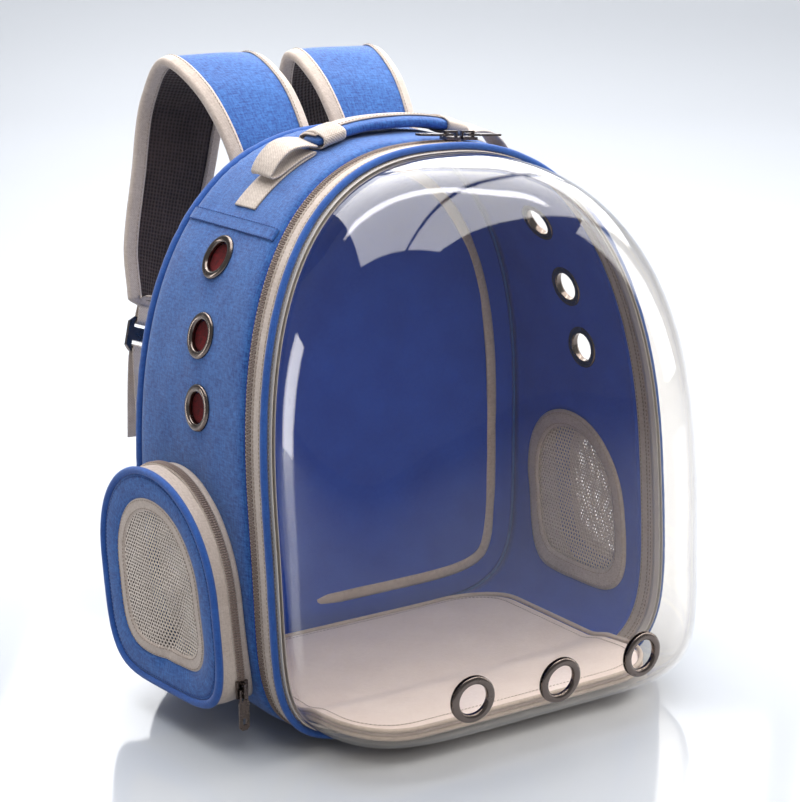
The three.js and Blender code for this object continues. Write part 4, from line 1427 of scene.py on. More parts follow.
@dataclass
class Shell:
    """The padded cloth ring between the dome and the back, with its windows and eyelet holes."""

    start: float = 24.3
    end: float = 94.25
    edge: float = 1.2
    puff: float = 2.8
    cloth: float = 3.0
    count: int = 300
    window_inset: float = 16.0
    seam_at: float = 127.5
    seam_width: float = 10.0
    seam_thickness: float = 1.3
    eyelet_hole: float = 12.2
    hole_depth: float = 20.0
    eyelet_reach: float = 9.0
    usual_depth: float = 90.0
    pucker: float = 0.35
    pucker_pitch: float = 11.0
    lining_slack: float = 0.6
    eyelets: tuple = (("top", 337.0, 26.0), ("middle", 284.2, 15.0), ("bottom", 234.6, 4.8))

    def offsets(self, share: Array) -> Array:
        """Distance of the outer face outside the outline, across the shell's depth."""
        return self.edge + self.puff * (1 - np.abs(2 * share - 1) ** 12) ** 0.7

    def seat(self, side: Side, name: str, height: float, y: float) -> EyeletSeat:
        """The place and normal of an eyelet in the side wall.

        Args:
            side: The side of the bag.
            name: The eyelet's word in the node's name.
            height: Its height.
            y: Its Y.

        Returns:
            The eyelet's seat.
        """
        middle = self.edge + self.puff - self.cloth / 2
        reach = self.eyelet_reach
        below, x, above = FORM.half_width_at(height + reach * np.array([-1, 0, 1]), middle)
        normal = unit(np.array([side.value * 2 * reach, 0.0, below - above]))
        point = np.array([side.value * x, y, height])
        return EyeletSeat(f"side_eyelet_{side.label}_{name}", point, normal, self.cloth)

    def seats(self) -> list[EyeletSeat]:
        """The seats of all six side eyelets, left side first."""
        return [self.seat(side, *eyelet) for side in Side for eyelet in self.eyelets]

    def wall(self) -> bpy.types.Object:
        """The outer cloth and the lining as one closed ring with soft creases.

        Returns:
            The ring, not yet in the scene.
        """
        share = np.linspace(0, 1, 34)

        def section(rim: Array) -> tuple[Array, Array]:
            """Offsets and Ys from the front edge to the back."""
            begin = rim + self.start
            return self.offsets(share)[None], begin + (self.end - begin) * share[None]

        outer = FORM.band(self.count, section)
        points, normals = FORM.outline(self.count)
        out = np.stack([normals[:, 0], np.zeros(self.count), normals[:, 1]], axis=1)[:, None]
        clear_base = smooth_step(points[:, 1], 6, 45)[:, None]
        middling = np.sin(math.pi * share)[None] ** 0.5
        creases = 0.7 * ripples(outer, 62, 3) + 0.3 * ripples(outer, 24, 5)
        away = np.minimum(share, 1 - share)[None] * self.usual_depth
        travelled = running_length(np.concatenate([outer, outer[:1]]), 0)[:-1, None]
        phase = travelled * 2 * math.pi / self.pucker_pitch + 2 * ripples(outer, 40, 8)
        puckers = self.pucker * np.exp(-away / 5) * np.sin(phase) * np.minimum(1, away / 2)
        outer = outer + out * (clear_base * (creases * middling + puckers))[..., None]
        slack = self.lining_slack * (1 + ripples(outer, 85, 11))
        inner = outer - out * (self.cloth + middling * slack * clear_base)[..., None]
        both = np.concatenate([outer, inner[:, ::-1]], axis=1)
        columns = both.shape[1]
        slots = np.where(np.arange(columns) < len(share), 0, 1)[None]
        return grid_object("shell_cloth", both, [OXFORD, LINING], closed_u=True, closed_v=True, slots=slots)

    def window_cutter(self, side: Side) -> bpy.types.Object:
        """A prism through the wall inside a pocket.

        Args:
            side: The side of the bag.

        Returns:
            The cutter, not yet in the scene.
        """
        y, z, _ = POCKET.outline(POCKET.turns(96), self.window_inset)
        ring = np.stack([np.full(len(y), side.value * 120.0), y, z], axis=1)
        return prism(ring, np.array([side.value * 90.0, 0, 0]))

    def build(self) -> list[EyeletSeat]:
        """Build the wall, its holes and its cross seams.

        Returns:
            The seats of the side eyelets.
        """
        seats = self.seats()
        cutters = [cylinder(seat.point, seat.normal, self.eyelet_hole, self.hole_depth) for seat in seats]
        cutters += [self.window_cutter(side) for side in Side]
        link(cut(self.wall(), cutters), "shell_gusset")
        for side in Side:
            self.cross_seam(side)
        return seats

    def seam_line(self, side: Side, across: float, lift: float) -> tuple[Array, Array]:
        """A line across the shell's depth at a distance from the middle.

        Args:
            side: The side of the bag.
            across: Distance from the middle.
            lift: Height above the cloth.

        Returns:
            The line's points and the cloth's outward normal at each.
        """
        points, normals = FORM.outline(FINE_STEPS)
        upper = points[:, 1] > FORM.widest
        near = int(np.argmin(np.where(upper, np.abs(points[:, 0] - side.value * across), 1e9)))
        share = np.linspace(0.02, 0.98, 40)
        begin = float(FORM.rim(points[near, 1])) + self.start
        offset = self.offsets(share) + lift
        x = points[near, 0] + normals[near, 0] * offset
        z = points[near, 1] + normals[near, 1] * offset
        path = np.stack([x, begin + (self.end - begin) * share, z], axis=1)
        return path, np.tile([normals[near, 0], 0.0, normals[near, 1]], (len(share), 1))

    def cross_seam(self, side: Side) -> None:
        """The folded, double-stitched seam where the top panel meets the side panel.

        Args:
            side: The side of the bag.
        """
        middle, up = self.seam_line(side, self.seam_at, 0.5)
        across = np.cross(up, unit(np.gradient(middle, axis=0)))
        name = f"shell_seam_{side.label}_fold"
        fold = ribbon(name, middle, across, self.seam_width, self.seam_thickness, OXFORD)
        link(fold)
        for row, way in enumerate((-1, 1)):
            place = self.seam_at + way * 0.272 * self.seam_width
            path, up = self.seam_line(side, place, self.seam_thickness)
            stitch_row(f"shell_seam_{side.label}_stitches_{row}", path, up, BLUE_THREAD, pitch=3.4)


@dataclass
class EdgeBands:
    """Everything sewn round the shell's two edges: front piping, trim tape, main zip and rear piping."""

    piping: float = 2.7
    rear_piping: float = 3.8
    trim_start: float = 2.9
    trim_width: float = 10.8
    zip_start: float = 14.0
    zip_width: float = 10.0
    tape_inside: float = -0.5
    tape_outside: float = 1.1
    coil_pitch: float = 1.9
    coil_turn: float = 3.3
    coil_radius: float = 0.72
    coil_spread: float = 1.35
    stitch_margins: tuple = (1.6, 1.4, 1.5, 1.5)
    count: int = 320

    def cord(self, name: str, radius: float, node: str, y: float | None) -> None:
        """A cloth-covered cord round the shell.

        Args:
            name: The piece's name.
            radius: The cord's radius.
            node: Its CAD node.
            y: A fixed Y, or nothing for a cord on the front rim.
        """
        turn = turned(14)

        def section(rim: Array) -> tuple[Array, Array]:
            """Offsets and Ys round the cord."""
            centre = rim if y is None else np.full_like(rim, y)
            return radius * np.cos(turn)[None], centre + radius * np.sin(turn)[None]

        points = FORM.band(self.count, section)
        middle = points.mean(axis=1, keepdims=True)
        clear_base = smooth_step(points[..., 2], 4, 40)
        points = middle + (points - middle) * (1 + 0.05 * clear_base * ripples(points, 12, 4))[..., None]
        link(grid_object(name, points, [OXFORD_DEEP], closed_u=True, closed_v=True), node)

    def tape(self, name: str, start: float, width: float, finish: Finish) -> bpy.types.Object:
        """A flat tape with rounded edges round the shell.

        Args:
            name: The piece's name.
            start: Distance of its front edge behind the rim.
            width: Its width.
            finish: Its finish.

        Returns:
            The tape, not yet in the scene.
        """
        share = np.array([0, 0.02, 0.08, 0.5, 0.92, 0.98, 1.0])
        crown = np.array([-0.8, -0.25, 0.0, 0.15, 0.0, -0.25, -0.8])

        def section(rim: Array) -> tuple[Array, Array]:
            """Go over the tape and back under it.

            Args:
                rim: The rim's Y at each step.

            Returns:
                Offsets and Ys.
            """
            top = self.tape_outside + crown
            offset = np.concatenate([top, np.full(len(share), self.tape_inside)])[None]
            y = rim + start + width * np.concatenate([share, share[::-1]])[None]
            return offset, y

        return grid_object(name, FORM.band(self.count, section), [finish], closed_u=True, closed_v=True)

    def coil(self) -> None:
        """Two rows of nylon turns that meet in the middle of the zip."""
        middle = self.zip_start + self.zip_width / 2
        line, out = FORM.line(FINE_STEPS, self.tape_outside + self.coil_radius / 2, middle)
        for row, way in enumerate((-1, 1)):
            start = line if row == 0 else np.roll(line, -1, axis=0)
            up = out if row == 0 else np.roll(out, -1, axis=0)
            places, along, up = resample(start, self.coil_pitch, closed=True, normals=up)
            across = np.cross(up, along)
            middles = places + across * way * self.coil_spread
            size = (self.coil_turn, self.coil_radius)
            link(capsules(f"main_zip_coil_{row}", middles, across, up, *size, COIL, arch=0.6))

    def stitches(self) -> None:
        """The sewing lines on the tapes and beside the piping."""
        trim_front, trim_rear, zip_front, zip_rear = self.stitch_margins
        rows = (
            ("trim_front_stitches", self.trim_start + trim_front, BEIGE_THREAD),
            ("trim_rear_stitches", self.trim_start + self.trim_width - trim_rear, BEIGE_THREAD),
            ("zip_front_stitches", self.zip_start + zip_front, BROWN_THREAD),
            ("zip_rear_stitches", self.zip_start + self.zip_width - zip_rear, BROWN_THREAD),
        )
        for name, behind, thread in rows:
            line, out = FORM.line(FINE_STEPS // 2, self.tape_outside + 0.1, behind)
            stitch_row(name, line, out, thread, closed=True)
            inside, out = FORM.line(FINE_STEPS // 2, self.tape_inside - 0.1, behind)
            stitch_row(f"{name}_inside", inside, -out, BROWN_THREAD, closed=True)

    def build(self) -> None:
        """Build all bands and their stitching."""
        self.cord("front_piping_cord", self.piping, "front_binding", None)
        self.cord("rear_piping_cord", self.rear_piping, "rear_piping", FORM.half_depth)
        trim = self.tape("trim_tape_cloth", self.trim_start, self.trim_width, BEIGE_TAPE)
        link(trim, "trim_tape")
        zip_tape = self.tape("main_zip_tape", self.zip_start, self.zip_width, ZIP_TAPE)
        link(zip_tape, "main_zip")
        self.coil()
        self.stitches()


@dataclass
class BackPanel:
    """The flat back with its lining, quilted outer face and the taped seam inside."""

    inset: float = 3.6
    front: float = 95.25
    thickness: float = 3.0
    seam_inset: float = 22.0
    seam_width: float = 9.0
    seam_thickness: float = 1.2
    count: int = 160
    quilt_lines: tuple = (90.0, 150.0, 210.0, 270.0)

    def disc(self, y: Array | float, rings: Array, inset: float) -> Array:
        """Points of a flat shape like the shell's outline.

        Args:
            y: Its Y.
            rings: Shares of the way from the middle to the edge.
            inset: How far the edge lies inside the outline.

        Returns:
            Stations by rings by three.
        """
        points, normals = FORM.outline(self.count)
        edge = points - normals * inset
        centre = np.array([0.0, FORM.widest])
        flat = centre + (edge - centre)[:, None] * rings[None, :, None]
        return np.stack([flat[..., 0], np.broadcast_to(y, flat.shape[:2]), flat[..., 1]], axis=-1)

    def build(self) -> None:
        """Build the panel, the seam tape and the quilting stitches."""
        rings = np.concatenate([[1.0, 0.99], np.linspace(0.97, 0.0, 46)])
        outer = self.disc(self.front + self.thickness, rings, self.inset)
        inner = self.disc(self.front, rings, self.inset)
        fade = smooth_step(1 - rings, 0.0, 0.1)[None]
        outer[..., 1] += fade * (1.8 + 0.5 * ripples(outer, 60, 21)) - 1.9 * self.quilting(outer) * fade
        inner[..., 1] -= fade * (0.6 + 1.2 * ripples(inner, 90, 22) + 0.5 * ripples(inner, 35, 23))
        both = np.concatenate([outer, inner[:, ::-1]], axis=1)
        slots = np.where(np.arange(both.shape[1]) < len(rings), 0, 1)[None]
        cloths = [OXFORD, LINING]
        panel = grid_object("back_panel_cloth", both, cloths, closed_u=True, closed_v=True, slots=slots)
        lay_flat(panel, both.reshape(-1, 3)[:, [0, 2]])
        link(face_outwards(panel, merge=0.002), "back_panel")
        self.seam_tape()
        self.quilt_stitches()

    def quilting(self, points: Array) -> Array:
        """Depth of the quilting grooves.

        Args:
            points: Places on the panel.

        Returns:
            From 0 to 1, for each place.
        """
        depth = np.zeros(points.shape[:-1])
        for height in self.quilt_lines:
            depth = np.maximum(depth, np.exp(-(((points[..., 2] - height) / 8) ** 2)))
        return depth

    def seam_tape(self) -> None:
        """The beige tape that covers the seam inside."""
        points, normals = FORM.outline(self.count)
        share = np.linspace(0, 1, 5)
        offset = -self.seam_inset - self.seam_width * share
        thick = 0.3 + (self.seam_thickness - 0.3) * np.sin(math.pi * share) ** 0.3
        top = self.front - 0.5 - thick
        x = points[:, :1] + normals[:, :1] * offset
        z = points[:, 1:] + normals[:, 1:] * offset
        y = np.broadcast_to(top, x.shape)
        face = np.stack([x, y, z], axis=-1)
        both = np.concatenate([face, (face + [0, 1.0, 0])[:, ::-1]], axis=1)
        # The darker tape paints the shade inside the cabin.
        tape = grid_object("back_seam_cloth", both, [SHADED_TAPE], closed_u=True, closed_v=True)
        link(tape, "back_seam_tape")

    def quilt_stitches(self) -> None:
        """Sewing lines across the quilted outer face."""
        for row, height in enumerate(self.quilt_lines):
            half = float(FORM.half_width_at(np.array(height), -self.inset)) - self.seam_width
            face = self.front + self.thickness + 0.25
            path = np.array([[x, face, height] for x in np.linspace(-half, half, 30)])
            up = np.tile([0.0, 1.0, 0.0], (len(path), 1))
            stitch_row(f"back_quilt_stitches_{row}", path, up, BLUE_THREAD, pitch=3.6)


# Nets


def net_object(
    name: str,
    place: Callable[[Array, Array], Array],
    start: tuple[float, float],
    inset: float,
    pitch: float,
    hole: float,
    thickness: float,
) -> bpy.types.Object:
    """A knitted net with real round holes.

    Args:
        name: The object's name.
        place: Turns Ys and Zs into points in space.
        start: Y and Z of the first hole.
        inset: How far inside the pocket's outline the net ends.
        pitch: Distance between holes.
        hole: Radius of a hole as a share of the pitch.
        thickness: Thickness of the cord.

    Returns:
        The object, not yet in the scene.
    """
    row_step = pitch * math.sqrt(3) / 2
    centres = []
    for row, z in enumerate(np.arange(start[1], POCKET.height + POCKET.half_height, row_step)):
        y = np.arange(start[0], POCKET.y + 1.2 * POCKET.half_width, pitch) + (row % 2) * pitch / 2
        centres.append(np.stack([y, np.full(len(y), z)], axis=1))
    middle = np.concatenate(centres)
    middle = middle[POCKET.inside(middle[:, 0], middle[:, 1], inset) > 0]
    turn = np.radians(np.arange(6) * 60 + 30)
    ring = np.stack([np.cos(turn), np.sin(turn)], axis=1)
    outer = middle[:, None] + ring[None] * pitch / math.sqrt(3)
    inner = middle[:, None] + ring[None] * pitch * hole
    flat = np.concatenate([outer, inner], axis=1).reshape(-1, 2)
    points = place(flat[:, 0], flat[:, 1])
    shape = np.array([[k, (k + 1) % 6, 6 + (k + 1) % 6, 6 + k] for k in range(6)])
    faces = (np.arange(len(middle))[:, None, None] * 12 + shape[None]).reshape(-1, 4)
    uv = flat[faces.reshape(-1)]
    obj = mesh_object(name, points, faces.tolist(), [NET_CORD], uv)
    mesh = bmesh.new()
    mesh.from_mesh(obj.data)
    bmesh.ops.remove_doubles(mesh, verts=mesh.verts, dist=0.02 * MM)
    mesh.to_mesh(obj.data)
    mesh.free()
    thicken = obj.modifiers.new("cord thickness", "SOLIDIFY")
    thicken.thickness = thickness * MM
    thicken.offset = 0.0
    return obj


@dataclass
class SideWindow:
    """The net window in the shell's wall behind a pocket, with its taped edge inside."""

    side: Side
    inset: float = 16.0
    hem: float = 5.0
    lap: float = 9.0
    inner_offset: float = 1.0
    border: float = 1.2
    tuck: float = 2.0
    first_hole: tuple = (-70.0, 20.0)
    pitch: float = 3.4
    hole: float = 0.34
    cord: float = 0.6

    def build(self) -> None:
        """Build the border, its stitches and the net."""
        side = self.side
        turn = POCKET.turns(140)[:, None]
        share = np.linspace(0, 1, 6)[None]
        inset = self.inset - self.hem + (self.hem + self.lap) * share
        base = POCKET.on_wall(side, turn, inset, self.inner_offset)
        rise = 1.7 + self.border * np.sin(math.pi * share) ** 0.3 + 0.3 * ripples(base, 26, 31)
        inward = np.array([-side.value, 0.0, 0.0])
        top = base + inward * rise[..., None]
        both = np.concatenate([top, (base + inward * 0.9)[:, ::-1]], axis=1)
        name = f"window_{side.label}"
        # The darker tape paints the shade inside the cabin.
        border = grid_object(f"{name}_tape", both, [SHADED_TAPE], closed_u=True, closed_v=True)
        link(border, f"{name}_border")
        up = np.tile(inward, (len(turn), 1))
        for row, column in enumerate((1, 4)):
            path = top[:, column] + inward * 0.1
            stitch_row(f"{name}_stitches_{row}", path, up, BEIGE_THREAD, closed=True)

        def place(y: Array, z: Array) -> Array:
            """Let the net hang slack in the wall.

            Args:
                y: Places' Y.
                z: Places' Z.

            Returns:
                The net's points.
            """
            depth = POCKET.inside(y, z, self.inset)
            fold = 1.2 * np.exp(-(((z - 66 - 0.12 * y) / 5) ** 2))
            x = FORM.half_width_at(z, 2.2) + 2.2 * depth**1.5 * ripples(np.stack([y, z], -1), 48, 33) - fold
            return np.stack([side.value * x, y, z], axis=1)

        inset = self.inset - self.tuck
        net = net_object(f"{name}_mesh", place, self.first_hole, inset, self.pitch, self.hole, self.cord)
        link(net, f"{name}_net")


@dataclass
class SidePocket:
    """A bulging side pocket: taped wall with a zip, piped face, taped border and net."""

    side: Side
    frame_start: float = 3.5
    frame_width: float = 17.0
    border_width: float = 9.0
    wall: float = 2.0
    zip_lift: float = 0.4
    zip_width: float = 9.0
    coil_turn: float = 3.8
    coil_radius: float = 0.78
    coil_pitch: float = 1.9
    coil_spread: float = 1.6
    piping: float = 2.7
    stitch_height: float = 2.1
    tuck: float = 3.0
    first_hole: tuple = (-60.0, 30.0)
    pitch: float = 3.0
    hole: float = 0.37
    cord: float = 0.5
    slack: float = 4.5
    count: int = 180
    zip_start: float = math.radians(-36)
    zip_end: float = math.radians(198)

    def on_face(self, turn: Array, inset: Array | float, proud: Array | float) -> Array:
        """Points on the pocket's slack face.

        Args:
            turn: Turns round the outline.
            inset: How far inside the outline.
            proud: Distance above the face.

        Returns:
            The points.
        """
        points = POCKET.point(self.side, turn, inset, 1.0, proud)
        share = smooth_step(np.asarray(inset), 4.0, 22.0)
        fall = slump(points[..., 1], points[..., 2], self.slack) * share
        points[..., 0] -= self.side.value * fall
        points[..., 1] += 0.35 * fall * np.sin(points[..., 2] / 7)
        return points

    def ring(self, words: tuple[str, str], insets: Array, prouds: Array, finish: Finish, slot: str) -> None:
        """A closed band on the pocket's face, given by its section.

        Args:
            words: The piece's own two words, the first of them also its CAD node's.
            insets: The section's distances inside the outline.
            prouds: Its distances above the face.
            finish: Its finish.
            slot: Not used.
        """
        points = self.on_face(POCKET.turns(self.count)[:, None], insets[None], prouds[None])
        band = grid_object(self.node("_".join(words)), points, [finish], closed_u=True, closed_v=True)
        link(band, self.node({"face": "frame"}.get(words[0], words[0])))

    def node(self, word: str) -> str:
        """The name of one of the pocket's CAD nodes."""
        return f"pocket_{self.side.label}_{word}"

    def build_wall(self) -> None:
        """The beige gusset tape round the pocket, slightly baggy."""
        turn = POCKET.turns(self.count)[:, None]
        lift = np.linspace(0, 1, 14)[None]
        outer = POCKET.point(self.side, turn, 0.0, lift, 0.0)
        sag = 0.8 * np.sin(math.pi * lift) * (1 + ripples(outer, 30, 41))
        outer = POCKET.point(self.side, turn, -sag, lift, 0.0)
        inner = POCKET.point(self.side, turn, self.wall, lift, 0.0)
        both = np.concatenate([outer, inner[:, ::-1]], axis=1)
        wall = grid_object(self.node("gusset_tape"), both, [BEIGE_TAPE], closed_u=True, closed_v=True)
        link(wall, self.node("wall"))

    def build_face(self) -> None:
        """Piping, blue face, beige border and their stitches."""
        around = turned(14)
        insets = 1.0 - self.piping * np.cos(around)
        prouds = 1.4 + self.piping * np.sin(around)
        self.ring(("piping", "cord"), insets, prouds, OXFORD_DEEP, "blue_oxford")
        share = np.linspace(0, 1, 9)
        face = self.frame_start - 0.5 + (self.frame_width + 1.5) * share
        bulge = 1.2 + 1.5 * np.sin(math.pi * share) ** 0.6
        insets = np.concatenate([face, face[::-1]])
        prouds = np.concatenate([bulge, np.full_like(face, 0.1)])
        self.ring(("face", "cloth"), insets, prouds, OXFORD, "blue_oxford")
        edge = self.frame_start + self.frame_width
        border = edge + (self.border_width + 0.6) * share
        swell = 1.3 + 0.9 * np.sin(math.pi * share) ** 0.4
        insets = np.concatenate([border, border[::-1]])
        prouds = np.concatenate([swell, np.full_like(border, 0.4)])
        self.ring(("border", "tape"), insets, prouds, BEIGE_TAPE, "beige_tape")
        turn = POCKET.turns(300)
        up = np.tile([float(self.side.value), 0.0, 0.0], (len(turn), 1))
        rows = (
            (self.frame_start + 2.2, BLUE_THREAD),
            (edge + 1.6, BEIGE_THREAD),
            (edge + self.border_width - 1.2, BEIGE_THREAD),
        )
        for row, (inset, thread) in enumerate(rows):
            path = self.on_face(turn, inset, self.stitch_height)
            stitch_row(self.node(f"stitches_{row}"), path, up, thread, closed=True, pitch=3.0)

    def build_net(self) -> None:
        """The sagging net in the pocket's face."""
        inset = self.frame_start + self.frame_width + self.border_width

        def place(y: Array, z: Array) -> Array:
            """Let the net sag into the pocket.

            Args:
                y: Places' Y.
                z: Places' Z.

            Returns:
                The net's points.
            """
            depth = np.maximum(0, POCKET.inside(y, z, inset))
            across = y - POCKET.y - POCKET.shear * (z - POCKET.height)
            sag = 2.0 * depth**0.7 * (1 + 0.9 * ripples(np.stack([y, z], -1), 44, 52))
            x = POCKET.face_middle() + POCKET.bulge_slope * across + 1.2 - sag - slump(y, z, self.slack)
            return np.stack([self.side.value * x, y, z], axis=1)

        size = (inset - self.tuck, self.pitch, self.hole, self.cord)
        net = net_object(self.node("net_mesh"), place, self.first_hole, *size)
        link(net, self.node("net"))

    def build_zip(self) -> None:
        """The zip in the pocket's wall: tape, two rows of turns and two sewing lines."""
        turn = POCKET.turns(150, self.zip_start, self.zip_end)
        depth = POCKET.bulge
        share = np.linspace(-0.5, 0.5, 7) * self.zip_width / depth
        out = np.concatenate([np.full(7, -1.6), np.full(7, -0.5)])
        lift = self.zip_lift + np.concatenate([share, share[::-1]])
        points = POCKET.point(self.side, turn[:, None], out[None], lift[None], 0.0)
        tape = grid_object(self.node("zip_tape"), points, [ZIP_TAPE], closed_v=True, capped=True)
        link(tape, self.node("zip"))
        dense = POCKET.turns(600, self.zip_start, self.zip_end)
        for row, way in enumerate((-1, 1)):
            lift = self.zip_lift + way * self.coil_spread / depth
            path = POCKET.point(self.side, dense, -1.9, lift, 0.0)
            out = unit(POCKET.point(self.side, dense, -3.9, lift, 0.0) - path)
            places, along, up = resample(path, self.coil_pitch, normals=out)
            across = np.cross(up, along)
            size = (self.coil_turn, self.coil_radius)
            link(capsules(self.node(f"zip_coil_{row}"), places, across, up, *size, COIL, arch=0.6))
            seam = POCKET.point(self.side, dense, -1.75, self.zip_lift + way * 3.4 / depth, 0.0)
            stitch_row(self.node(f"zip_stitches_{row}"), seam, out, BEIGE_THREAD, pitch=3.0)

    def build(self) -> None:
        """Build the whole pocket."""
        self.build_wall()
        self.build_face()
        self.build_net()
        self.build_zip()


# Floor mat


@dataclass
class FloorMat:
    """The padded mat on the floor, which runs forward into the dome."""

    half_width: float = 136.0
    rear: float = 84.0
    front: float = -150.0
    thickness: float = 9.0
    corner: float = 46.0
    floor_offset: float = 1.0
    seat: float = 0.8
    bridge_rise: float = 5.6
    bridge_start: float = -58.0
    bridge_end: float = -86.0
    front_slope: float = 0.085
    piping: float = 1.76
    piping_levels: tuple = (0.85, 0.22)
    stitch_inset: float = 9.0

    def ground(self, x: Array, y: Array) -> Array:
        """Height of the mat's underside.

        Args:
            x: Places' X.
            y: Places' Y.

        Returns:
            The height at each place.
        """
        floor = FORM.right_half(self.floor_offset)[: FINE_STEPS // 4 + 1]
        height = np.interp(np.abs(x), floor[:, 0], floor[:, 1])
        bridge = np.clip((self.bridge_start - y) / (self.bridge_start - self.bridge_end), 0, 1)
        slope = np.maximum(0, self.bridge_end - y) * self.front_slope
        return height + self.seat + self.bridge_rise * smooth_step(bridge, 0, 1) + slope

    def plan(self, count: int, inset: float) -> Array:
        """The mat's outline from above, with round corners.

        Args:
            count: Number of points.
            inset: How far inside the mat's edge.

        Returns:
            X and Y of each point.
        """
        corner = self.corner - min(inset, self.corner - 4)
        half = self.half_width - inset
        ends = [
            (half, self.rear - inset),
            (-half, self.rear - inset),
            (-half, self.front + inset),
            (half, self.front + inset),
        ]
        dense = []
        for k, (x, y) in enumerate(ends):
            centre = np.array([x - math.copysign(corner, x), y - math.copysign(corner, y)])
            turn = np.radians(np.linspace(k * 90, k * 90 + 90, 24))
            dense.append(centre + corner * np.stack([np.cos(turn), np.sin(turn)], axis=1))
        loop = np.concatenate(dense + [dense[0][:1]])
        travelled = distance_along(loop)
        return at_distances(loop, travelled, np.arange(count) / count * travelled[-1])

    def build(self) -> None:
        """Build the pad, its two piping cords and a sewing line."""
        edge = self.plan(180, 0.0)
        centre = np.array([0.0, (self.rear + self.front) / 2])
        share = np.concatenate([[1.0, 0.985, 0.96, 0.93, 0.88], np.linspace(0.8, 0.0, 14)])
        flat = centre + (edge - centre)[:, None] * share[None, :, None]
        rise = np.array([0.55, 0.82, 0.95, 1.0, 1.04] + [1.06] * 14)
        ground = self.ground(flat[..., 0], flat[..., 1])
        soft = 0.8 * ripples(flat, 70, 61) * smooth_step(1 - share, 0, 0.2)[None]
        top = np.dstack([flat, ground + self.thickness * rise[None] + soft])
        under = np.dstack([flat, ground + self.thickness * np.maximum(0, 0.45 - (rise - 0.55))[None] * 0.9])
        both = np.concatenate([top, under[:, ::-1]], axis=1)
        mat = grid_object("floor_mat_pad", both, [MAT_CLOTH], closed_u=True, closed_v=True)
        lay_flat(mat, both.reshape(-1, 3)[:, :2])
        link(face_outwards(mat, merge=0.002), "floor_mat")
        for row, level in enumerate(self.piping_levels):
            self.add_piping(row, level)
        line = self.edge_line(300, self.stitch_inset, 1.02)
        up = np.tile([0.0, 0.0, 1.0], (len(line), 1))
        stitch_row("floor_mat_stitches", line, up, BEIGE_THREAD, closed=True)

    def edge_line(self, count: int, inset: float, level: float) -> Array:
        """A line round the mat.

        Args:
            count: Number of points.
            inset: How far inside the mat's edge.
            level: Share of the mat's thickness above its underside.

        Returns:
            The line's points.
        """
        x, y = self.plan(count, inset).T
        return np.stack([x, y, self.ground(x, y) + self.thickness * level], axis=1)

    def add_piping(self, row: int, level: float) -> None:
        """A cord along the mat's edge.

        Args:
            row: The cord's number.
            level: Share of the mat's thickness above its underside.
        """
        spine = self.edge_line(240, -0.6, level)
        tangent = unit(np.roll(spine, -1, axis=0) - np.roll(spine, 1, axis=0))
        out = unit(np.cross(tangent, [0.0, 0.0, 1.0]))
        up = np.cross(out, tangent)
        turn = turned(10)[None, :, None]
        points = spine[:, None] + self.piping * (np.cos(turn) * out[:, None] + np.sin(turn) * up[:, None])
        cord = grid_object(f"floor_mat_piping_{row}", points, [BEIGE_TAPE], closed_u=True, closed_v=True)
        link(cord)


# Handle


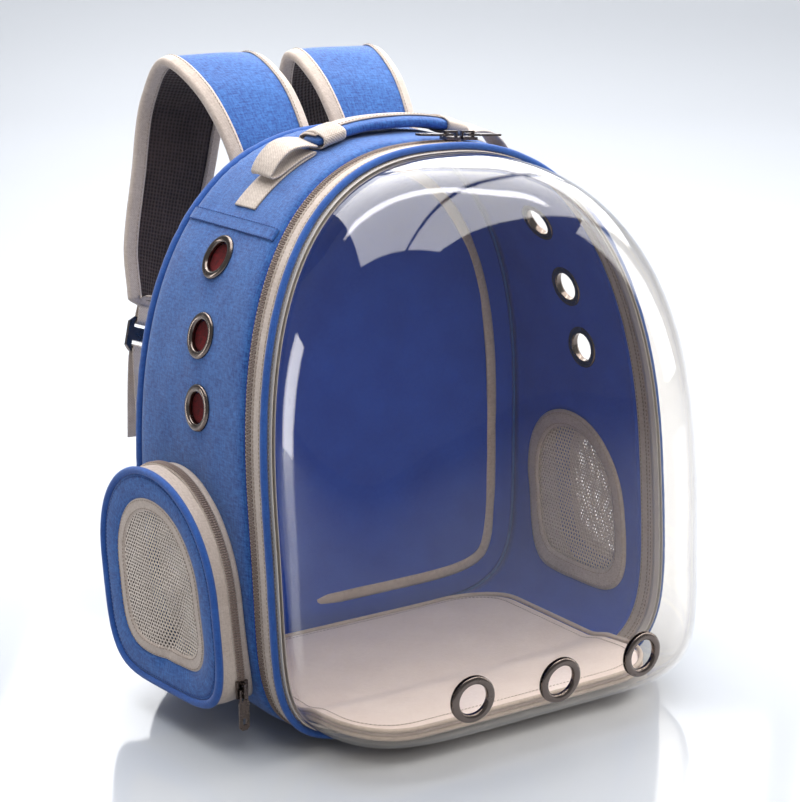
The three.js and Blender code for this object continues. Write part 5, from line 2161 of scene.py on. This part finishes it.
@dataclass
class Handle:
    """The padded grip on the crown, with its taped edge, cuffs and folded webbing ends."""

    y: float = 28.0
    half_length: float = 66.0
    width: float = 30.0
    thickness: float = 9.0
    arch: float = 0.6
    cuff_start: float = 46.0
    cuff_end: float = 64.0
    cuff: float = 1.6
    webbing_width: float = 29.0
    webbing: float = 1.6
    webbing_start: float = 72.0
    webbing_end: float = 122.0
    webbing_count: int = 110
    crown_offset: float = 4.0
    fold: tuple = (
        (80, 2.6),
        (92, 3.0),
        (102, 4.6),
        (107, 8.6),
        (103, 13.1),
        (92, 15.6),
        (80, 12.1),
        (67.4, 5.6),
    )

    def grip_section(self, x: Array, grow: float) -> Array:
        """Sections of the grip.

        Args:
            x: Places along it.
            grow: How far the sections are grown outwards.

        Returns:
            Places by section points by three.
        """
        turn = turned(32)
        under = FORM.crown_at(x, self.crown_offset) + self.cuff + 0.6
        middle = under + self.arch * (1 - (x / self.half_length) ** 2) + self.thickness / 2
        across = np.sign(np.cos(turn)) * np.abs(np.cos(turn)) ** 0.8 * (self.width / 2 + grow)
        up = np.sign(np.sin(turn)) * np.abs(np.sin(turn)) ** 0.7 * (self.thickness / 2 + grow)
        parts = np.broadcast_arrays(x[:, None], self.y + across[None], middle[:, None] + up[None])
        return np.stack(parts, axis=-1)

    def build(self) -> None:
        """Build the grip, its edge tape, both cuffs and both webbing ends."""
        x = np.linspace(-self.half_length, self.half_length, 70)
        points = self.grip_section(x, 0.0)
        middle = points.mean(axis=1, keepdims=True)
        ends = (1 - 0.35 * np.abs(x / self.half_length) ** 10)[:, None]
        wrinkle = 0.05 * ripples(points, 22, 71) * ends
        points = middle + (points - middle) * (ends + wrinkle)[..., None]
        grip = grid_object("handle_grip_cloth", points, [OXFORD], closed_v=True, capped=True)
        link(grip, "handle_grip")
        self.edge_tape(x)
        for side in Side:
            self.add_cuff(side)
            self.add_webbing(side)

    def edge_tape(self, x: Array) -> None:
        """The beige tape that wraps the grip's rear edge.

        Args:
            x: Places along the grip.
        """
        section = self.grip_section(x, 0.35)
        outer = self.grip_section(x, 1.3)
        kept = list(range(26, 32)) + list(range(0, 11))
        both = np.concatenate([outer[:, kept], section[:, kept[::-1]]], axis=1)
        tape = grid_object("handle_edge_tape", both, [BEIGE_TAPE], closed_v=True, capped=True)
        link(tape)
        line = self.grip_section(x, 1.4)[:, 9]
        up = unit(line - self.grip_section(x, 0.0)[:, 9])
        stitch_row("handle_edge_stitches", line, up, BEIGE_THREAD, pitch=3.0)

    def add_cuff(self, side: Side) -> None:
        """The webbing wrapped round one end of the grip.

        Args:
            side: The side of the bag.
        """
        x = np.linspace(self.cuff_start, self.cuff_end, 12) * side.value
        inner = self.grip_section(x, 0.5)
        swell = 1 + 0.25 * ripples(self.grip_section(x, 2.0), 16, 73)
        centre = inner.mean(axis=1, keepdims=True)
        outer = inner + unit(inner - centre) * (self.cuff * swell + 0.4)[..., None]
        points = np.concatenate([outer, inner[::-1]], axis=0)
        name = f"handle_cuff_{side.label}"
        cuff = grid_object(f"{name}_webbing", points, [BEIGE_WEBBING], closed_u=True, closed_v=True)
        link(cuff, name)

    def add_webbing(self, side: Side) -> None:
        """The webbing sewn down the crown, turned back and folded up to the grip.

        Args:
            side: The side of the bag.
        """
        down = np.linspace(self.webbing_end, self.webbing_start, 14)
        on_crown = np.stack([down, np.full_like(down, 0.9)], axis=1)
        turn = np.array([[self.webbing_start - 2.0, 2.2]])
        route = np.concatenate([on_crown, turn, np.array(self.fold) + [0.0, 0.9]])
        x, lift = catmull_rom(route, self.webbing_count).T
        share = np.linspace(0, 1, self.webbing_count)
        twist = smooth_step(share, 0.55, 1.0)
        y = self.y + 1.2 * twist * np.sin(9 * share)
        path = np.stack([side.value * x, y, FORM.crown_at(x, self.crown_offset) + lift], axis=1)
        across = np.array([0.0, 1.0, 0.0]) + np.outer(0.12 * twist, [0.0, 0.0, 1.0])
        name = f"handle_webbing_{side.label}"
        band = ribbon(f"{name}_band", path, across, self.webbing_width, self.webbing, BEIGE_WEBBING)
        link(band, name)


# Shoulder straps


@dataclass
class ShoulderStrap:
    """A padded strap with bound edges, its buckle and the webbing down to the base."""

    side: Side
    thickness: float = 9.0
    binding: float = 5.0
    lap: float = 10.5
    tape: float = 1.0
    count: int = 100
    webbing_width: float = 25.0
    webbing: float = 1.5
    buckle_gap: float = 9.0
    buckle_length: float = 28.0
    buckle_bar: float = 3.6
    buckle_thickness: float = 4.0
    bar_gap: float = 0.3
    anchor_x: float = 149.0
    anchor_low: float = 34.0
    anchor_high: float = 54.0
    tail: float = 70.0
    sag: float = 10.0
    route: tuple = (
        (50, 103.1, 350, 36),
        (50, 104.1, 378, 37),
        (50, 118, 408, 39),
        (53, 152, 445, 42),
        (58, 197, 461, 43),
        (64, 224, 428, 40),
        (76, 227, 366, 37),
        (92, 221, 306, 33),
        (106, 210, 268, 22),
    )
    frames: dict[str, Array] = field(default_factory=dict)

    @property
    def name(self) -> str:
        """The start of the strap's names."""
        return f"strap_{self.side.label}"

    def measure(self) -> None:
        """Work out the strap's middle line, directions and half width."""
        route = np.array(self.route, dtype=float)
        centre = catmull_rom(route[:, :3] * [self.side.value, 1, 1], self.count)
        half = catmull_rom(route[:, 3:], self.count, False)[:, 0]
        tangent = unit(np.gradient(centre, axis=0))
        across = unit(np.array([1.0, 0.0, 0.0]) - tangent * tangent[:, :1])
        self.frames = {
            "centre": centre,
            "tangent": tangent,
            "across": across,
            "normal": np.cross(across, tangent),
            "half": half,
        }

    def surface(self, across: Array, up: Array) -> Array:
        """Points at distances across and above the middle line, by frame."""
        origin, sideways, normal = (self.frames[key][:, None] for key in ("centre", "across", "normal"))
        return origin + sideways * across[..., None] + normal * up[..., None]

    def build_pad(self) -> None:
        """The foam pad: blue cloth on top and black mesh beneath."""
        half = (self.frames["half"] - 2.2)[:, None]
        share = np.linspace(-1, 1, 19)[None]
        thick = self.thickness / 2
        crown = thick * (1 - np.abs(share) ** 5) ** 0.5
        top = self.surface(half * share, 0.25 * thick + 0.85 * crown)
        under = self.surface(half * share[:, ::-1], -(0.1 * thick + 0.75 * crown))
        length = len(self.frames["half"])
        ends = smooth_step(np.arange(length) / length, 0.0, 0.04)[:, None]
        normal = self.frames["normal"][:, None]
        top += normal * (0.5 * ends * ripples(top, 46, 81) * (1 - np.abs(share) ** 4))[..., None]
        both = np.concatenate([top, under], axis=1)
        slots = np.where(np.arange(both.shape[1]) < share.size, 0, 1)[None]
        cloths = [OXFORD, AIR_MESH]
        pad = grid_object(f"{self.name}_cushion", both, cloths, closed_v=True, capped=True, slots=slots)
        link(pad, f"{self.name}_pad")

    def edge_path(self) -> tuple[Array, Array, Array]:
        """The way down one edge, round the lower end and up the other.

        Returns:
            Origins inside the edge, outward directions and the pad's normals.
        """
        f = self.frames
        reach = (f["half"] - self.binding)[:, None]
        left = f["centre"] - f["across"] * reach
        right = f["centre"] + f["across"] * reach
        last = {key: value[-1] for key, value in f.items()}
        turn = np.radians(np.linspace(-80, 80, 17))[:, None]
        wide = float(last["half"]) - self.binding
        outward = last["tangent"] * np.cos(turn) + last["across"] * np.sin(turn)
        flat = np.sign(np.sin(turn)) * np.abs(np.sin(turn)) ** 0.8
        origin = last["centre"] + last["across"] * flat * wide + last["tangent"] * 0.3
        origins = np.concatenate([left, origin, right[::-1]])
        outwards = np.concatenate([-f["across"], outward, f["across"][::-1]])
        normals = np.concatenate([f["normal"], np.tile(last["normal"], (17, 1)), f["normal"][::-1]])
        return origins, outwards, normals

    def build_binding(self) -> None:
        """The beige tape folded over the strap's edge, with a sewing line on both faces."""
        origins, outwards, normals = self.edge_path()
        inside = self.lap - self.binding
        thick = self.thickness / 2 * 0.62
        arc = np.radians(np.linspace(90, -90, 9))
        outer = [(-inside, thick + 2.7), (-inside * 0.6, thick + 2.45), (-inside * 0.2, thick + 1.9)]
        nose = self.binding * 0.45
        outer += [(nose + (self.binding - nose) * math.cos(a), thick * math.sin(a) * 1.25) for a in arc]
        outer += [(-inside * 0.2, -thick - 1.1), (-inside * 0.6, -thick - 1.4), (-inside, -thick - 1.6)]
        shrink = 1 - self.tape / (thick + 2.0)
        inner = [(a - self.tape * (0.0 if a < 0 else 0.6), b * shrink) for a, b in outer]
        out, up = np.array(outer + inner[::-1]).T[..., None]
        points = origins[:, None] + outwards[:, None] * out + normals[:, None] * up
        points += normals[:, None] * (0.15 * ripples(points, 18, 83))[..., None]
        tape = grid_object(f"{self.name}_edge_tape", points, [BEIGE_TAPE], closed_v=True, capped=True)
        link(tape, f"{self.name}_binding")
        for row, (up, lift) in enumerate(((1, thick + 2.65), (-1, thick + 1.6))):
            path = origins - outwards * (inside - 1.8) + normals * up * lift
            stitch_row(f"{self.name}_stitches_{row}", path, normals * up, BEIGE_THREAD)

    def wrap(self, bar: Array, down: Array, up: Array) -> Array:
        """The way of the webbing round one bar of the buckle.

        Args:
            bar: The bar's middle.
            down: The direction in which the webbing leaves the open side.
            up: The buckle's normal.

        Returns:
            Six places from below the bar to above it.
        """
        gap = self.bar_gap + self.webbing / 2
        shares = np.array([[-0.4, -1], [0.75, -1], [1, -0.6], [1, 0.6], [0.75, 1], [-0.4, 1]])
        along = down * shares[:, :1] * (self.buckle_bar / 2 + gap)
        return bar + along + up * shares[:, 1:] * (self.buckle_thickness / 2 + gap)

    def build_loop(self, end: dict[str, Array], bar: Array) -> None:
        """The loop of webbing between the pad's lower end and the buckle's upper bar.

        Args:
            end: The strap's frame at its lower end.
            bar: The upper bar's middle.
        """
        start = end["centre"] + end["tangent"] * (self.binding - 2.0)
        flat = end["normal"] * (self.webbing / 2 + 0.15)
        route = [[start - flat], self.wrap(bar, end["tangent"], end["normal"]), [start + flat]]
        smooth = catmull_rom(np.concatenate(route), 50)
        across = np.tile(end["across"], (len(smooth), 1))
        name = f"{self.name}_buckle_loop"
        loop = ribbon(name, smooth, across, self.webbing_width, self.webbing, BEIGE_WEBBING)
        link(loop, f"{self.name}_loop")

    def build_webbing(self) -> None:
        """The webbing from the base up to the buckle's lower bar, round it and down to its free tail."""
        end = {key: value[-1] for key, value in self.frames.items()}
        down = end["tangent"]
        gap = self.binding + self.bar_gap + self.buckle_gap
        middle = end["centre"] + down * (gap + self.buckle_length / 2)
        bar = down * (self.buckle_length - self.buckle_bar) / 2
        self.build_loop(end, middle - bar)
        around = self.wrap(middle + bar, -down, end["normal"])
        face = FORM.half_depth + 1.5 + self.webbing / 2
        anchor = np.array([self.side.value * self.anchor_x, face, self.anchor_high])
        foot = np.array([self.side.value * self.anchor_x, face, self.anchor_low])
        share = 1 - np.arange(9)[:, None] / 9
        run = around[0] + (anchor - around[0]) * share
        run += np.array([[0, self.sag, 0]]) * np.sin(math.pi * share)
        hang = np.array([0.0, 0.1, -1.0])
        tail = [around[-1] + hang * self.tail * 0.5 + [0, 1.0, 0], around[-1] + hang * self.tail]
        smooth = catmull_rom(np.concatenate([[foot], run, around, tail]), 150)
        blend = np.clip(np.linspace(0, 17 / 9, len(smooth)), 0, 1)[:, None]
        across = np.array([1.0, 0.0, 0.0]) * (1 - blend) + end["across"] * blend
        name = f"{self.name}_lower_webbing"
        band = ribbon(name, smooth, across, self.webbing_width, self.webbing, BEIGE_WEBBING)
        link(band, f"{self.name}_webbing")

    def build(self) -> None:
        """Build the whole strap."""
        self.measure()
        self.build_pad()
        self.build_binding()
        self.build_webbing()


# Metal parts of the frame


@dataclass
class MetalParts:
    """Sliders, pull tabs and buckles: the frame's own solids with rounded edges and a polished plate."""

    names: tuple = ("slider", "pull", "buckle")
    edge: float = 0.5
    sharpest: float = 35.0

    def build(self) -> None:
        """Give each metal solid a rounded edge and its plate."""
        for name, node in frame["nodes"].items():
            word = name.rsplit("_", 1)[-1]
            if word not in self.names:
                continue
            bevel = node.modifiers.new("rounded edge", "BEVEL")
            bevel.width = self.edge * MM
            bevel.segments = 3
            bevel.limit_method = "ANGLE"
            bevel.angle_limit = math.radians(self.sharpest)
            node.data.materials.clear()
            node.data.materials.append(GUNMETAL.material())
            smooth_faces(node.data)
            smooth = node.modifiers.new("even shading", "WEIGHTED_NORMAL")
            smooth.keep_sharp = True
            LOG.info("%s: plated", name)


# Studio


@dataclass
class Studio:
    """A pale sweep, a paned overhead window, soft lights and the camera of the product photograph."""

    floor_reach: float = 5000.0
    bend_start: float = 1400.0
    bend_radius: float = 900.0
    wall_height: float = 4000.0
    room_colour: str = "F4F8FD"
    room_light: float = 0.3
    camera_at: tuple = (-0.8664, -1.2846, 0.61165)
    yaw: float = -34.146
    pitch: float = 14.014
    focal_length: float = 94.52
    shift: tuple = (-0.015, -0.015)
    window_way: tuple = (0.324, 0.400, 0.857)
    window_distance: float = 1.5
    window_across: tuple = (0.698, -0.711, 0.068)
    window_columns: tuple = ((-0.95, 0.30), (0.36, 1.25))
    window_rows: tuple = ((-1.75, 0.26), (0.32, 1.10))
    window_glow: float = 4.1

    def sweep(self) -> None:
        """A floor that curves up into a wall behind the bag."""
        turn = np.radians(np.arange(10, 100, 10))
        floor = np.linspace(-self.floor_reach, self.bend_start, 12)
        wall = self.bend_start + self.bend_radius + 1.0
        depth = np.concatenate([floor, self.bend_start + self.bend_radius * np.sin(turn), [wall]])
        height = np.concatenate([0 * floor, self.bend_radius * (1 - np.cos(turn)), [self.wall_height]])
        across = np.array([-self.floor_reach, 0.0, self.floor_reach])
        points = np.stack(np.broadcast_arrays(across[None], depth[:, None], height[:, None]), axis=-1)
        obj = grid_object("studio_sweep", points, [SWEEP])
        obj.rotation_euler = (0, 0, math.radians(self.yaw))
        bpy.context.scene.collection.objects.link(obj)

    def light(self, name: str, frame_of: Matrix, size: Sequence[float], power: float) -> bpy.types.Object:
        """Add one soft rectangular light that shines along its own -Z.

        Args:
            name: The light's name.
            frame_of: Its place and turn, in metres.
            size: Its two sides in metres.
            power: Its power in watts.

        Returns:
            The light.
        """
        data = bpy.data.lights.new(name, "AREA")
        data.shape = "RECTANGLE"
        data.size, data.size_y = size
        data.energy = power
        obj = bpy.data.objects.new(name, data)
        obj.matrix_world = frame_of
        bpy.context.scene.collection.objects.link(obj)
        return obj

    def aimed(
        self, name: str, at: Sequence[float], aim: Sequence[float], size: Sequence[float], power: float
    ) -> bpy.types.Object:
        """Add one soft rectangular light at a place, turned towards another, in metres and watts."""
        turn = (Vector(aim) - Vector(at)).to_track_quat("-Z", "Y").to_matrix().to_4x4()
        return self.light(name, Matrix.Translation(at) @ turn, size, power)

    def window(self) -> None:
        """The paned overhead window that the dome reflects."""
        away = Vector(self.window_way).normalized()
        across = Vector(self.window_across)
        across = (across - away * across.dot(away)).normalized()
        upward = away.cross(across)
        for column in self.window_columns:
            for row in self.window_rows:
                size = (column[1] - column[0], row[1] - row[0])
                middle = away * self.window_distance + across * sum(column) / 2 + upward * sum(row) / 2
                turn = Matrix((across, upward, away)).transposed().to_4x4()
                power = self.window_glow * math.pi * size[0] * size[1]
                self.light("window pane", Matrix.Translation(middle) @ turn, size, power)

    def world(self) -> None:
        """Even pale light from all round."""
        world = bpy.data.worlds.new("pale room")
        world.use_nodes = True
        background = world.node_tree.nodes["Background"]
        background.inputs["Color"].default_value = linear(self.room_colour)
        background.inputs["Strength"].default_value = self.room_light
        bpy.context.scene.world = world

    def camera(self) -> None:
        """The camera that took the photograph."""
        data = bpy.data.cameras.new("camera")
        data.sensor_fit = "HORIZONTAL"
        data.sensor_width = 36
        data.lens = self.focal_length
        data.shift_x, data.shift_y = self.shift
        data.clip_end = 60
        obj = bpy.data.objects.new("camera", data)
        obj.location = self.camera_at
        obj.rotation_euler = (math.radians(90 - self.pitch), 0, math.radians(self.yaw))
        bpy.context.scene.collection.objects.link(obj)
        bpy.context.scene.camera = obj

    def build(self) -> None:
        """Set the stage."""
        self.sweep()
        self.world()
        self.window()
        self.aimed("left rear strip", (-1.25, 1.05, 0.32), (0, 0, 0.25), (0.25, 0.7), 3.5)
        self.aimed("backdrop light", (0.5, 0.75, 2.3), (1.3, 2.0, 0.9), (3.2, 0.7), 58)
        self.aimed("right softbox", (2.1, -0.56, 0.9), (0, 0, 0.2), (0.7, 1.6), 14)
        cabin_fill = self.aimed("cabin fill", (-0.25, -1.35, 1.5), (0, -0.1, 0.05), (1.2, 0.8), 11)
        # A flag keeps this light out of what the dome reflects.
        cabin_fill.visible_glossy = False
        self.camera()
        bpy.context.scene.view_settings.view_transform = "Standard"


def main() -> None:
    """Build the bag piece by piece, then the studio."""
    logging.basicConfig(level=logging.INFO, format="%(name)s: %(message)s")
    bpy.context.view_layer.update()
    shell = Shell()
    eyelets = Eyelets()
    side_seats = shell.build()
    dome_seats = Dome().build()
    for seat in side_seats + dome_seats:
        eyelets.add(seat)
    for seat, word in zip(side_seats, ("top", "middle", "bottom")):
        eyelets.add_gauze(seat, f"eyelet_gauze_{word}")
    EdgeBands().build()
    BackPanel().build()
    FloorMat().build()
    Handle().build()
    for side in Side:
        SideWindow(side).build()
        SidePocket(side).build()
        ShoulderStrap(side).build()
    MetalParts().build()
    Studio().build()


if __name__ == "__main__":
    main()
